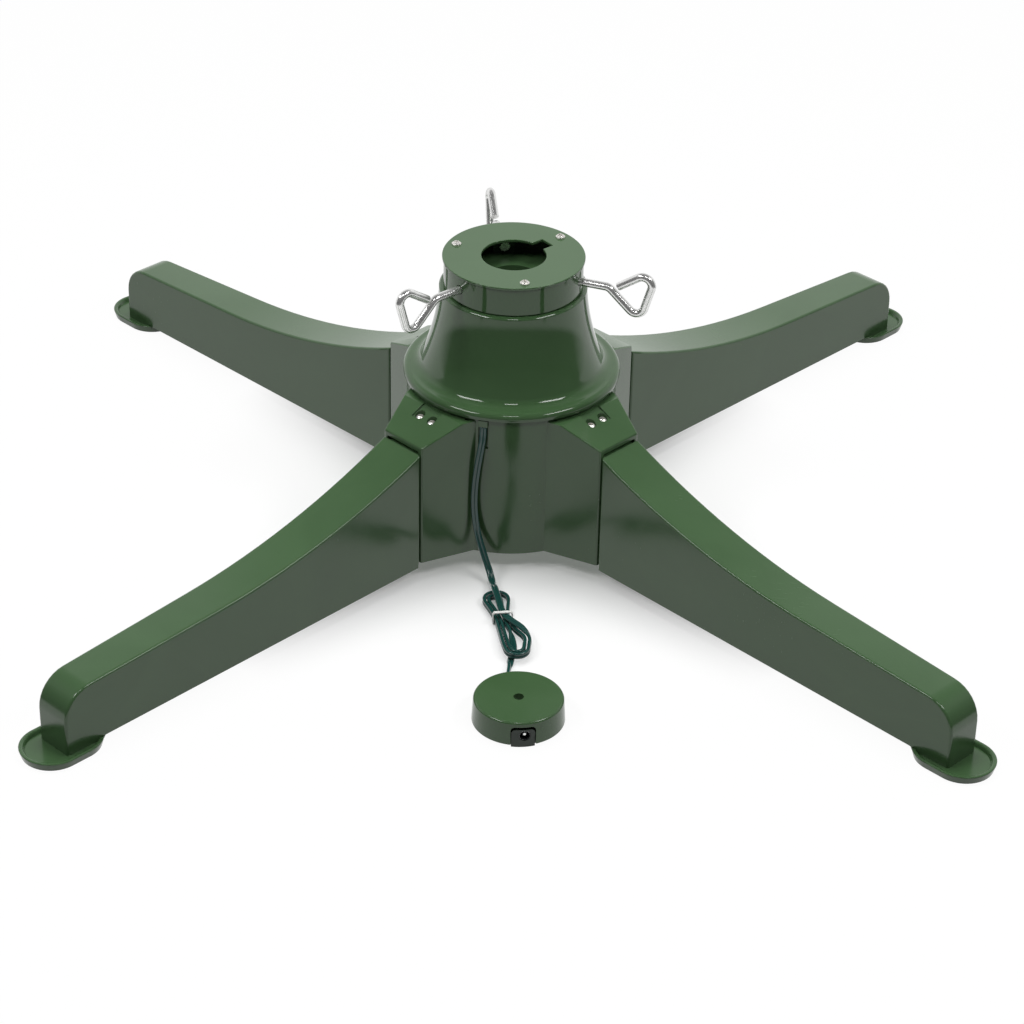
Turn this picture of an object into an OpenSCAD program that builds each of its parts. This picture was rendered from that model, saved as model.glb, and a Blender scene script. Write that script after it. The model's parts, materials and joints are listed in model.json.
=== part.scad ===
// Rotating stand for a small artificial tree: four legs, a motor hub, a bell and a turning pole collar.
// Frame: +Z up, origin on the turning axis at the floor, -Y towards the foot switch, legs on the diagonals.

/* [Hub] */
// Clearance between the hub's underside and the floor
hub_lift = 14; // [10:0.5:18]
// Diameter of the hub's round core
hub_d = 143; // [140:1:150]
// Height of the hub's core, from its underside to its deck
hub_h = 104; // [98:1:112]
// Wall thickness of the hub and its cover
wall = 3; // [2.4:0.1:3.4]
// Distance from the axis to the open end of each arm
arm_reach = 102; // [99:1:108]
// Width of an arm at its open end
arm_w = 36; // [34:1:40]
// Spread of an arm's sides towards the core, in degrees
arm_flare = 19; // [14:1:21]
// Rise of an arm's top towards the core, in degrees
arm_slope = 24; // [20:1:26]
// Thickness of the cover under the hub
cover_t = 2.5; // [2:0.1:3]

/* [Legs] */
// Distance from the axis to the outer end of each leg
leg_reach = 402; // [380:1:430]
// Width of a leg at its outer end
leg_tip_w = 27.4; // [25:0.2:30]
// Height of a leg's top above the floor at its outer end
leg_tip_z = 47.4; // [44:0.2:52]
// Fall of a leg's straight outer stretch, in degrees
leg_fall = 3.8; // [2.5:0.1:4.5]
// Length of the straight outer stretch
leg_straight = 122; // [100:1:140]
// Radius of a leg's rounded nose
nose_r = 22; // [16:1:24]
// Drop from an arm's top to the leg's top at the joint
leg_step = 5; // [3.5:0.1:6]
// Wall thickness of the hollow legs
leg_wall = 2.8; // [2.2:0.1:3.2]
// Spacing of the ribs inside a leg
rib_pitch = 48; // [40:1:60]

/* [Foot pads] */
// Width of a foot pad at the floor
pad_w = 40; // [38:1:46]
// Extra length of a foot pad beyond its width
pad_stretch = 14; // [12:1:20]
// Height of a foot pad's rim
pad_h = 5.6; // [5:0.2:7]
// Outward lean of the rim
pad_lean = 1.6; // [1:0.1:2.2]
// Thickness of a foot pad's floor
pad_floor = 3; // [2.6:0.1:3.6]

/* [Bell] */
// Height of the bell above the hub's deck
bell_h = 66; // [62:0.5:72]
// Diameter of the bell's top
bell_top_d = 99.6; // [98.6:0.1:102]
// Diameter of the bell just above its flange
bell_foot_d = 127; // [122:1:130]
// Diameter of the bell's flange
flange_d = 148; // [146:1:152]
// Height of the flange
flange_h = 5.8; // [5:0.1:7]
// Wall thickness of the bell
bell_wall = 2.6; // [2.2:0.1:3]

/* [Turntable] */
// Running gap between the bell and the collar
run_gap = 0.6; // [0.5:0.1:1]
// Outer diameter of the collar
collar_d = 94; // [92:0.5:96]
// Height of the collar
collar_h = 19; // [18:0.5:22]
// Wall thickness of the collar
collar_wall = 3.5; // [3:0.1:4]
// Thickness of the collar's floor
collar_floor = 4; // [3.5:0.1:5]
// Diameter of the top plate
plate_d = 96; // [95:0.5:99]
// Thickness of the top plate
plate_t = 2; // [1.6:0.1:2.6]
// Diameter of the opening in the top plate
mouth_d = 43.6; // [40:0.2:46]
// Width of the notch in the opening
notch_w = 11; // [9:0.5:12]
// Distance from the axis to the notch's end
notch_reach = 29.6; // [28:0.1:31]
// Bore for the tree's pole
pole_bore = 35; // [33.5:0.1:36]
// Wall thickness of the pole socket
socket_wall = 3.4; // [3:0.1:3.8]
// Rest angle of the turntable
spin_rest = -20; // [-60:1:60]

/* [Thumb screws] */
// Diameter of the bent rod and its thread
rod_d = 5.6; // [5:0.1:6]
// Length of stem outside the collar
stem_out = 20.2; // [18.5:0.1:24]
// Distance from the axis to the tips at rest
tip_rest = 32.8; // [30:0.2:34]
// Radius of the rod's bends, along its centre
bend_r = 6; // [5:0.5:8]
// Drop of the loop's lower corner
loop_drop = 21; // [16:0.5:24]
// Rise of the loop's upper corner
loop_rise = 20; // [15:0.5:22]
// Reach of the loop beyond its bend
loop_reach = 34; // [28:0.5:38]

/* [Drive] */
// Gear module
gear_m = 1.5; // [1.3:0.05:1.6]
// Teeth on the ring gear
ring_teeth = 48; // [44:2:50]
// Teeth on the pinion
pinion_teeth = 14; // [13:1:16]
// Face width of the ring gear
ring_face = 8; // [6:0.5:9]
// Diameter of the gearbox
gearbox_d = 33; // [30:0.5:34]
// Diameter of the balls in the turntable bearing
ball_d = 4; // [3.6:0.1:4.4]
// Number of balls
ball_count = 14; // [10:1:16]

/* [Foot switch] */
// Diameter of the switch's cap at the floor
cap_d = 59.8; // [57:0.2:64]
// Diameter of the switch's cap at its top
cap_top_d = 58; // [55:0.2:60]
// Height of the switch
cap_h = 18.4; // [18:0.2:21]
// Travel of the cap when pressed
cap_travel = 1.6; // [1.2:0.1:1.8]
// Diameter of the opening in the cap's centre
cap_hole_d = 6.8; // [6.4:0.1:7.4]
// Diameter of the power jack's mouth
jack_d = 6.4; // [6:0.1:6.6]

/* [Cord] */
// Width of the flat twin cord
cord_w = 4.8; // [4.4:0.1:5]
// Thickness of the flat twin cord
cord_t = 2.4; // [2.2:0.1:2.5]
// Number of loops in the hank
hank_loops = 2; // [2:1:2]

/* [Hidden] */

$fn = 96;
eps = 0.01;
// Clearance round parts that slot into each other, and between a screw and its hole
slip = 0.3;
screw_play = 0.05;

green = [0.22, 0.34, 0.21];
zinc = [0.74, 0.74, 0.72];
teal = [0.10, 0.28, 0.26];
black = [0.08, 0.08, 0.09];

// Levels of the fixed parts
deck_z = hub_lift + hub_h;
bell_z1 = deck_z + bell_h;
hub_r = hub_d / 2;
hub_in_r = hub_r - wall;
cover_z1 = hub_lift + cover_t;
slope_wall = wall / cos(arm_slope);
arm_lip = 0.4;
arm_end_z = deck_z - arm_lip - (arm_reach - hub_r) * tan(arm_slope);
leg_angles = [225, 315, 135, 45];

function arm_half(x) = arm_w / 2 + (arm_reach - x) * tan(arm_flare);
function arm_top(x) = arm_end_z + (arm_reach - x) * tan(arm_slope);

// Levels of the turntable
collar_z0 = bell_z1 + run_gap;
collar_floor_z = collar_z0 + collar_floor;
collar_z1 = collar_z0 + collar_h;
plate_z1 = collar_z1 + plate_t;
stem_z = (collar_floor_z + collar_z1) / 2 - 1.3;
pole_r = pole_bore / 2;
socket_r = pole_r + socket_wall;
neck_play = 0.05;
neck_wall = 2.6;
neck_r = socket_r + neck_play + neck_wall;
neck_l = 15;
socket_floor = 3;
screw_angles = [0, 120, 240];

// Gear deck, gears and motor
gear_deck_t = 3;
gear_deck_z = 86;
gear_deck_r = 58.5;
pillar_r = 4.5;
pillar_at = 52;
bush_wall = 4;
bush_z0 = gear_deck_z - 2;
bush_h = 8;
ring_z0 = 96;
pitch_r = gear_m * ring_teeth / 2;
pinion_r = gear_m * pinion_teeth / 2;
motor_at = pitch_r + pinion_r + 0.08;
motor_angle = 135;
gearbox_h = 22;
can_d = 27.6;
can_h = 36;
shaft_d = 6;
socket_z0 = 62;

// Thrust bearing between the bell and the collar
race_in = neck_r + 1.4;
race_out = race_in + 11;
race_mid = (race_in + race_out) / 2;
race_t = 1.8;
groove = 0.6;
ball_gap = 0.12;
race_z1 = collar_z0;
ball_z = race_z1 - race_t + groove - ball_d / 2 - ball_gap;
lower_race_z1 = ball_z - ball_d / 2 - ball_gap + groove;
pocket_z = lower_race_z1 - race_t;
pocket_r = race_out + 0.8;

// A screw with a pan head: its head rests on z = 0 and its shank points down
module pan_screw(shank_d, length, head_d, head_h) {
    difference() {
        union() {
            cylinder(d = head_d, h = head_h * 0.45);
            translate([0, 0, head_h * 0.45])
                cylinder(d1 = head_d, d2 = head_d * 0.62, h = head_h * 0.55);
            translate([0, 0, -length])
                cylinder(d = shank_d, h = length);
        }
        for (turn = [0, 90])
            rotate(turn)
                translate([-head_d * 0.27, -head_d * 0.06, head_h * 0.5])
                    cube([head_d * 0.54, head_d * 0.12, head_h]);
    }
}

module ring(r_out, r_in, h) {
    difference() {
        cylinder(r = r_out, h = h);
        translate([0, 0, -1])
            cylinder(r = r_in, h = h + 2);
    }
}

module at_polar(angle, r, z = 0) {
    rotate(angle)
        translate([r, 0, z])
            children();
}

// ---- Hub -------------------------------------------------------------------------------------

arm_root = hub_r * 0.5;
tongue_in = hub_r + 4;
tongue_half = arm_w / 2 - wall - 0.2;
tongue_drop = 4.5;
tongue_z0 = cover_z1 + slip;
rail_half = tongue_half + 0.2;
rail_t = 2;
leg_screw_at = hub_r + 9.1;
leg_screw_y = 5.6;
leg_screw_head = 6;
leg_screw_shank = 3;
recess_x0 = leg_screw_at - 8;
recess_l = 12.4;
recess_half = 9.4;
recess_deep = 1.5;
seat_deep = 4.4;
leg_seat_z = arm_top(leg_screw_at) - seat_deep;
cord_angle = -105.1;
cord_slot_w = cord_w + 2.2;
relief_h = 5;
groove_deep = 1.3;
cover_boss_at = hub_in_r - 5;
cover_boss_r = 4;
cover_boss_h = 14;
bell_screw_at = 56;

// Plan of an arm, drawn in by a distance from its walls
module arm_plan(inset, x0, x1) {
    polygon([[x0, -arm_half(x0) + inset], [x1, -arm_half(x1) + inset],
             [x1, arm_half(x1) - inset], [x0, arm_half(x0) - inset]]);
}

// Side view of an arm from x0 to x1, its top lowered by drop
module arm_side(drop, x0, x1, z0) {
    rotate([90, 0, 0])
        linear_extrude(200, center = true)
            polygon([[x0, z0], [x1, z0], [x1, arm_top(x1) - drop], [x0, arm_top(x0) - drop]]);
}

module arm_outer() {
    intersection() {
        arm_side(0, arm_root, arm_reach, hub_lift - 1);
        translate([0, 0, hub_lift - 2])
            linear_extrude(hub_h)
                arm_plan(0, arm_root, arm_reach);
    }
}

module arm_inner() {
    difference() {
        intersection() {
            arm_side(slope_wall, arm_root, arm_reach + 1, hub_lift - 1);
            translate([0, 0, hub_lift - 1])
                linear_extrude(hub_h)
                    arm_plan(wall / cos(arm_flare), arm_root, arm_reach + 1);
        }
        translate([0, 0, hub_lift - 2])
            cylinder(r = hub_r - 0.4, h = hub_h + 4);
    }
}

// Rails that guide a leg's tongue, and the boss that its screws pass through
module arm_guides() {
    intersection() {
        arm_side(slope_wall - eps, tongue_in - 1, arm_reach - 0.5, cover_z1 + slip);
        translate([0, 0, cover_z1 + slip])
            linear_extrude(hub_h)
                for (side = [-1, 1])
                    translate([tongue_in - 1, side > 0 ? rail_half : -rail_half - rail_t])
                        square([arm_reach - 0.5 - tongue_in + 1, rail_t]);
    }
    intersection() {
        difference() {
            arm_side(slope_wall - eps, recess_x0 - 2, recess_x0 + recess_l + 2, hub_lift);
            arm_side(slope_wall + tongue_drop, 0, 200, 0);
        }
        translate([0, 0, hub_lift])
            linear_extrude(hub_h)
                translate([0, -recess_half - 1])
                    square([200, 2 * recess_half + 2]);
    }
}

module arm_recess() {
    intersection() {
        difference() {
            arm_side(-2, recess_x0, recess_x0 + recess_l, hub_lift);
            arm_side(recess_deep, 0, 200, 0);
        }
        translate([0, 0, hub_lift])
            linear_extrude(2 * hub_h)
                translate([0, -recess_half])
                    square([200, 2 * recess_half]);
    }
    for (side = [-1, 1])
        translate([leg_screw_at, side * leg_screw_y, 0]) {
            translate([0, 0, leg_seat_z])
                cylinder(d = leg_screw_head + 0.8, h = 20);
            translate([0, 0, leg_seat_z - 12])
                cylinder(d = leg_screw_shank + 2 * screw_play, h = 13);
        }
}

// Plan of the cover that closes the hub and its arms
module cover_plan(gap) {
    circle(r = hub_in_r - gap);
    for (a = leg_angles)
        rotate(a)
            arm_plan(wall / cos(arm_flare) + gap, arm_root, arm_reach - gap);
}

module cord_window(z0, z1, r0, r1, w) {
    rotate(cord_angle)
        translate([r0, -w / 2, z0])
            cube([r1 - r0, w, z1 - z0]);
}

module hub_housing() {
    color(green) difference() {
        union() {
            difference() {
                union() {
                    translate([0, 0, hub_lift - 1])
                        cylinder(r = hub_r, h = hub_h + 1);
                    for (a = leg_angles)
                        rotate(a)
                            arm_outer();
                }
                translate([0, 0, hub_lift - 1])
                    cylinder(r = hub_in_r, h = hub_h - wall + 1);
                for (a = leg_angles)
                    rotate(a)
                        arm_inner();
            }
            for (a = leg_angles)
                rotate(a)
                    arm_guides();
            // Pillars that carry the gear deck, and bosses for the cover's screws
            for (a = [0, 90, 180, 270]) {
                at_polar(a, pillar_at, gear_deck_z + gear_deck_t)
                    cylinder(r = pillar_r, h = deck_z - gear_deck_z - gear_deck_t - 1);
                at_polar(a, cover_boss_at, cover_z1)
                    cylinder(r = cover_boss_r, h = cover_boss_h);
                at_polar(a, cover_boss_at, cover_z1)
                    translate([0, -1.5, 0])
                        cube([hub_in_r - cover_boss_at + 1, 3, cover_boss_h]);
            }
        }
        // One flat underside for the core and the arms
        translate([-2 * arm_reach, -2 * arm_reach, hub_lift - 20])
            cube([4 * arm_reach, 4 * arm_reach, 20]);
        // Opening in the deck for the turning socket and the bell's inside
        translate([0, 0, deck_z - wall - 1])
            cylinder(r = pillar_at - pillar_r - 1.5, h = wall + 2);
        // Seat for the cover, which also runs under the core's wall
        translate([0, 0, hub_lift - 1])
            linear_extrude(cover_t + 1)
                cover_plan(slip / 2);
        for (a = leg_angles)
            rotate(a)
                arm_recess();
        for (a = [0, 90, 180, 270]) {
            at_polar(a, pillar_at, gear_deck_z + gear_deck_t - 1)
                cylinder(d = 3 + 2 * screw_play, h = 12);
            at_polar(a, cover_boss_at, cover_z1 - 1)
                cylinder(d = 3 + 2 * screw_play, h = 12);
            at_polar(a + 45, bell_screw_at, deck_z - wall - 1)
                cylinder(d = 3.4, h = wall + 2);
        }
        // Window for the strain relief and the shallow channel that the cord hangs in
        cord_window(deck_z - relief_h, deck_z + 1, hub_in_r - 2.3, hub_r + 1, cord_slot_w);
        cord_window(deck_z - 22, deck_z + 1, hub_r - groove_deep, hub_r + 1, cord_slot_w);
    }
}

module bottom_cover() {
    color(green) difference() {
        union() {
            translate([0, 0, hub_lift])
                linear_extrude(cover_t)
                    cover_plan(slip);
            // Posts for the control board
            for (p = board_posts)
                translate([p[0], p[1], cover_z1 - eps])
                    cylinder(r = 3, h = board_lift + eps);
        }
        for (a = [0, 90, 180, 270])
            at_polar(a, cover_boss_at, hub_lift - 1) {
                cylinder(d = 3 + 2 * screw_play, h = cover_t + 2);
                translate([0, 0, 1 - eps])
                    cylinder(d1 = 6.4, d2 = 3, h = 1.7);
            }
    }
}

// Countersunk screws under the cover
module cover_screws() {
    color(zinc) for (a = [0, 90, 180, 270])
        at_polar(a, cover_boss_at, hub_lift) {
            translate([0, 0, 0.1])
                cylinder(d1 = 6, d2 = 3, h = 1.5);
            translate([0, 0, 1])
                cylinder(d = 3, h = 10);
        }
}

// ---- Legs and feet -----------------------------------------------------------------------------

leg_gap = 0.8;
leg_x0 = arm_reach + leg_gap;
leg_top_x0 = arm_end_z - leg_step;
leg_bottom_x0 = hub_lift - 2.8;
leg_bottom_x1 = pad_h - 0.6;
knee_x = leg_reach - leg_straight;
knee_z = leg_tip_z + leg_straight * tan(leg_fall);
// The curved stretch is an arc that meets the straight one at the knee without a corner
chord_x = knee_x - leg_x0;
chord_z = leg_top_x0 - knee_z;
chord_off = chord_z * cos(leg_fall) - chord_x * sin(leg_fall);
sweep_r = (chord_x * chord_x + chord_z * chord_z) / (2 * chord_off);
sweep_cx = knee_x + sweep_r * sin(leg_fall);
sweep_cz = knee_z + sweep_r * cos(leg_fall);
end_lean = 1.2;
pad_x = leg_reach - 6;
foot_x0 = pad_x - (pad_stretch + pad_w) / 2 + 3;

function leg_top(x) = x > knee_x ? knee_z - (x - knee_x) * tan(leg_fall)
    : sweep_cz - sqrt(sweep_r * sweep_r - (sweep_cx - x) * (sweep_cx - x));
function leg_half(x) = arm_w / 2 + (leg_tip_w - arm_w) / 2 * (x - leg_x0) / (leg_reach - leg_x0);
function leg_bottom(x) = leg_bottom_x0
    + (leg_bottom_x1 - leg_bottom_x0) * (x - leg_x0) / (foot_x0 - leg_x0);

// Centre of the nose's arc, tangent to the straight top and to the end face
nose_x = leg_reach - nose_r;
nose_z = leg_top(nose_x) - nose_r / cos(leg_fall);

module leg_side(inset, x0, x1) {
    arc_steps = 14;
    rotate([90, 0, 0])
        linear_extrude(100, center = true)
            polygon(concat(
                [[x0, leg_bottom_x0 - 20], [x1, leg_bottom_x0 - 20]],
                [for (i = [0:8])
                    let (a = i * (90 - leg_fall) / 8 + (inset > 0 ? leg_fall : 0))
                    [min(x1, nose_x + (nose_r - inset) * cos(a)), nose_z + (nose_r - inset) * sin(a)]],
                [for (i = [0:arc_steps])
                    let (x = knee_x + (x0 - knee_x) * i / arc_steps)
                    [x, leg_top(x) - inset]]));
}

module leg_plan(inset, x0, x1) {
    polygon([[x0, -leg_half(x0) + inset], [x1, -leg_half(x1) + inset],
             [x1, leg_half(x1) - inset], [x0, leg_half(x0) - inset]]);
}

// Everything under the leg's belly line, with its foot standing lower
module under_leg() {
    rotate([90, 0, 0])
        linear_extrude(120, center = true)
            polygon([[leg_x0 - 1, -30], [leg_x0 - 1, leg_bottom(leg_x0 - 1)],
                     [foot_x0, leg_bottom_x1], [foot_x0, pad_floor],
                     [leg_reach + 10, pad_floor], [leg_reach + 10, -30]]);
}

module leg_body() {
    difference() {
        intersection() {
            leg_side(0, leg_x0, leg_reach);
            translate([0, 0, -10])
                linear_extrude(200)
                    leg_plan(0, leg_x0, leg_reach);
        }
        under_leg();
        // The hollow under the leg, crossed by ribs
        difference() {
            intersection() {
                leg_side(leg_wall, leg_x0 + leg_wall, foot_x0);
                translate([0, 0, -20])
                    linear_extrude(200)
                        leg_plan(leg_wall, leg_x0 + leg_wall, foot_x0);
            }
            for (x = [leg_x0 + leg_wall + rib_pitch : rib_pitch : foot_x0 - 12])
                translate([x, -50, -30])
                    cube([2, 100, 200]);
        }
        // Pilot hole for the foot pad's screw
        translate([pad_x - 8, 0, pad_floor - 1])
            cylinder(d = 4 + 2 * screw_play, h = 15);
    }
}

module leg_tongue() {
    difference() {
        intersection() {
            arm_side(slope_wall + tongue_drop, tongue_in, leg_x0 + leg_wall - eps, tongue_z0);
            translate([0, 0, hub_lift])
                linear_extrude(hub_h)
                    translate([tongue_in, -tongue_half])
                        square([leg_x0 + leg_wall - tongue_in, 2 * tongue_half]);
        }
        // Hollow from below, under the block that takes the screws
        intersection() {
            arm_side(slope_wall + tongue_drop + 10, tongue_in + 3, leg_x0 - 1, hub_lift - 5);
            translate([tongue_in + 3, -tongue_half + 3, hub_lift - 5])
                cube([leg_x0 - 1 - tongue_in - 3, 2 * tongue_half - 6, 200]);
        }
        for (side = [-1, 1])
            translate([leg_screw_at, side * leg_screw_y, leg_seat_z - 12])
                cylinder(d = leg_screw_shank + 2 * screw_play, h = 20);
    }
}

module leg(angle) {
    color(green) rotate(angle) {
        leg_body();
        leg_tongue();
    }
}

// Stadium with a leaning wall, longer along the leg
module pad_solid(r0, r1, h, stretch) {
    for (side = [-1, 1])
        translate([side * stretch / 2, 0, 0])
            cylinder(r1 = r0, r2 = r1, h = h);
    rotate([90, 0, 90])
        linear_extrude(stretch, center = true)
            polygon([[-r0, 0], [r0, 0], [r1, h], [-r1, h]]);
}

module foot_pad(angle) {
    rim = 2.7;
    color(green) rotate(angle) translate([pad_x, 0, 0]) difference() {
        pad_solid(pad_w / 2, pad_w / 2 + pad_lean, pad_h, pad_stretch);
        translate([0, 0, pad_floor])
            pad_solid(pad_w / 2 - rim, pad_w / 2 + pad_lean - rim, pad_h - pad_floor + 0.3, pad_stretch);
        // The rim is open where the leg comes in
        translate([-pad_w, -leg_half(pad_x) - 0.6, pad_floor])
            cube([pad_w, 2 * leg_half(pad_x) + 1.2, pad_h]);
        translate([-8, 0, -1])
            cylinder(d = 4 + 2 * screw_play, h = 10);
        translate([-8, 0, -eps])
            cylinder(d1 = 8.6, d2 = 4, h = 2.2);
    }
}

module pad_screws() {
    color(zinc) for (a = leg_angles)
        at_polar(a, pad_x - 8, 0.3) {
            cylinder(d1 = 7.2, d2 = 4, h = 1.6);
            translate([0, 0, 1])
                cylinder(d = 4, h = 12);
        }
}

module leg_screws() {
    color(zinc) for (a = leg_angles, side = [-1, 1])
        rotate(a)
            translate([leg_screw_at, side * leg_screw_y, leg_seat_z])
                pan_screw(leg_screw_shank, 11, leg_screw_head, 2.2);
}

// ---- Bell --------------------------------------------------------------------------------------

bell_foot_z = deck_z + flange_h + 0.6;
flange_z0 = deck_z + 0.6;
bell_top_r = bell_top_d / 2;
bell_foot_r = bell_foot_d / 2;
// The bell's wall is an arc that stands almost upright at the top
bell_lean = 3;
bell_dz = bell_z1 - 1 - bell_foot_z - 1.2;
bell_dr = bell_foot_r - 0.4 - bell_top_r;
bell_off = bell_dr * cos(bell_lean) - bell_dz * sin(bell_lean);
bell_arc_r = (bell_dz * bell_dz + bell_dr * bell_dr) / (2 * bell_off);
bell_cx = bell_top_r + bell_arc_r * cos(bell_lean);
bell_cz = bell_z1 - 1 + bell_arc_r * sin(bell_lean);

function bell_r(z) = bell_cx - sqrt(bell_arc_r * bell_arc_r - (z - bell_cz) * (z - bell_cz));

bell_arc = [for (i = [0:14]) let (z = bell_foot_z + 1.2 + bell_dz * i / 14) [bell_r(z), z]];
flange_r = flange_d / 2;
lip_r = 4;
lip_edge = 0.7;

// Smooth curve from a to c that starts towards b and ends away from it
function blend(a, b, c, n) =
    [for (i = [0:n]) let (t = i / n) (1 - t) * (1 - t) * a + 2 * t * (1 - t) * b + t * t * c];

// The wall's line carried down to the flange's top, where the curve between them turns
bell_toe = bell_arc[1] + (bell_arc[0] - bell_arc[1])
    * (bell_arc[1][1] - bell_foot_z) / (bell_arc[1][1] - bell_arc[0][1]);

module bell_cover() {
    bell_deck = 3;
    outer = concat(
        [[hub_in_r - 2, deck_z], [hub_in_r + 0.6, deck_z], [hub_in_r + 0.6, flange_z0],
         [flange_r - lip_edge, flange_z0], [flange_r - 0.2, flange_z0 + 0.2]],
        [for (i = [0:8])
            let (a = i * 10)
            [flange_r - lip_r + lip_r * cos(a), bell_foot_z - lip_r + lip_r * sin(a)]],
        blend([flange_r - lip_r, bell_foot_z], bell_toe, bell_arc[1], 8),
        [for (i = [2:14]) bell_arc[i]],
        [[bell_top_r - 0.3, bell_z1 - 0.3], [bell_top_r - 1, bell_z1], [pocket_r, bell_z1],
         [pocket_r, pocket_z], [neck_r + 0.7, pocket_z], [neck_r + 0.7, pocket_z - bell_deck],
         [pocket_r + bell_deck, pocket_z - bell_deck], [pocket_r + bell_deck, bell_z1 - bell_deck],
         [bell_top_r - bell_wall - 1, bell_z1 - bell_deck]],
        [for (i = [13:-1:0]) [bell_arc[i][0] - bell_wall, bell_arc[i][1]]],
        [[bell_foot_r - bell_wall, deck_z + 3.4], [hub_in_r - 2, deck_z + 3.4]]);
    color(green) difference() {
        union() {
            rotate_extrude()
                polygon(outer);
            for (a = [45, 135, 225, 315])
                at_polar(a, bell_screw_at, deck_z)
                    cylinder(r = 4, h = 14);
        }
        for (a = [45, 135, 225, 315])
            at_polar(a, bell_screw_at, deck_z - 1)
                cylinder(d = 3 + 2 * screw_play, h = 11);
    }
}

module bell_screws() {
    color(zinc) for (a = [45, 135, 225, 315])
        at_polar(a, bell_screw_at, deck_z - wall)
            mirror([0, 0, 1])
                pan_screw(3, wall + 9, 6, 2);
}

// ---- Gear deck, motor and electronics ------------------------------------------------------------

// How far out the cord passes down through the gear deck
pass_at = 53;

module gear_deck() {
    color([0.16, 0.2, 0.17]) difference() {
        translate([0, 0, gear_deck_z])
            cylinder(r = gear_deck_r, h = gear_deck_t);
        translate([0, 0, gear_deck_z - 1])
            cylinder(r = socket_r + bush_wall + slip / 2, h = gear_deck_t + 2);
        for (a = [0, 90, 180, 270])
            at_polar(a, pillar_at, gear_deck_z - 1)
                cylinder(d = 3 + 2 * screw_play, h = gear_deck_t + 2);
        at_polar(motor_angle, motor_at, gear_deck_z - 1) {
            cylinder(r = 6, h = gear_deck_t + 2);
            for (side = [-1, 1])
                translate([0, side * 10, 0])
                    cylinder(d = 3 + 2 * screw_play, h = gear_deck_t + 2);
        }
        // Pass-through for the leads
        at_polar(cord_angle, pass_at, gear_deck_z - 1)
            cylinder(r = 3.6, h = gear_deck_t + 2);
    }
}

module deck_screws() {
    color(zinc) for (a = [0, 90, 180, 270])
        at_polar(a, pillar_at, gear_deck_z)
            mirror([0, 0, 1])
                pan_screw(3, gear_deck_t + 9, 6, 2);
}

module lower_bush() {
    color([0.85, 0.84, 0.78]) translate([0, 0, bush_z0]) {
        ring(socket_r + bush_wall, socket_r + neck_play, bush_h);
        translate([0, 0, gear_deck_t + 2])
            ring(socket_r + bush_wall + 3, socket_r + neck_play, bush_h - gear_deck_t - 2);
    }
}

// Spring clip in a groove of the socket, under the bush
module retaining_ring() {
    color(zinc) translate([0, 0, bush_z0 - 1.5]) difference() {
        ring(socket_r + 3, socket_r - 1, 1.2);
        translate([0, -4, -1])
            cube([40, 8, 4]);
    }
}

module gearbox() {
    color(zinc) at_polar(motor_angle, motor_at) difference() {
        union() {
            translate([0, 0, gear_deck_z - gearbox_h])
                cylinder(d = gearbox_d, h = gearbox_h);
            translate([0, 0, gear_deck_z])
                cylinder(r = 5.7, h = 1.6);
        }
        translate([0, 0, gear_deck_z - 8])
            cylinder(d = shaft_d + 2 * screw_play, h = 20);
        for (side = [-1, 1])
            translate([0, side * 10, gear_deck_z - 7])
                cylinder(d = 3 + 2 * screw_play, h = 8);
    }
}

module motor_can() {
    can_z1 = gear_deck_z - gearbox_h;
    color([0.62, 0.62, 0.6]) at_polar(motor_angle, motor_at) {
        difference() {
            translate([0, 0, can_z1 - can_h])
                cylinder(d = can_d, h = can_h);
            for (side = [-1, 1])
                translate([side * (can_d / 2 + 7), 0, can_z1 - can_h - 1])
                    cylinder(r = 8, h = can_h + 2);
        }
        translate([0, 0, can_z1 - can_h - 2])
            cylinder(r = 5, h = 2 + eps);
        for (side = [-1, 1])
            translate([-1, side * 8 - 0.4, can_z1 - can_h - 3])
                cube([2, 0.8, 3 + eps]);
    }
}

module motor_screws() {
    color(zinc) at_polar(motor_angle, motor_at)
        for (side = [-1, 1])
            translate([0, side * 10, gear_deck_z + gear_deck_t])
                pan_screw(3, gear_deck_t + 5, 5.6, 1.8);
}

board_lift = 5;
board_x = 8;
board_y = -38;
board_l = 40;
board_w = 26;
board_z = cover_z1 + board_lift;
board_posts = [for (sx = [-1, 1], sy = [-1, 1])
    [board_x + sx * (board_l / 2 - 4), board_y + sy * (board_w / 2 - 4)]];

module control_board() {
    color([0.1, 0.3, 0.16]) difference() {
        translate([board_x - board_l / 2, board_y - board_w / 2, board_z])
            cube([board_l, board_w, 1.6]);
        for (p = board_posts)
            translate([p[0], p[1], board_z - 1])
                cylinder(d = 2.2, h = 4);
    }
}

// Terminal block, capacitors, a driver chip and the board's own screws
module board_parts() {
    color(black) translate([board_x, board_y, board_z + 1.6]) {
        translate([-9, -12, 0])
            cube([14, 8, 10]);
        translate([8, -2, 0])
            cylinder(d = 8, h = 12);
        translate([-2, 3, 0])
            cube([8, 6, 2]);
        translate([-12, 4, 0])
            cylinder(d = 5, h = 9);
    }
    color(zinc) for (p = board_posts)
        translate([p[0], p[1], board_z + 1.6])
            cylinder(d = 4, h = 1.4);
}

// Block in the hub's wall that grips the cord where it comes out
module strain_relief() {
    color(black) {
        cord_window(deck_z - relief_h, deck_z, hub_in_r - 2, exit_r + cord_t / 2 + 0.1, cord_slot_w - 0.4);
        cord_window(deck_z - relief_h - 2, deck_z - wall, hub_in_r - 5, hub_in_r - slip, cord_slot_w + 4);
    }
}

// ---- Tubes along a route ---------------------------------------------------------------------------

function unit(v) = v / norm(v);
function ease(t) = let (s = max(0, min(1, t))) s * s * (3 - 2 * s);
function tangent(path, i) = unit(path[min(i + 1, len(path) - 1)] - path[max(i - 1, 0)]);

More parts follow.
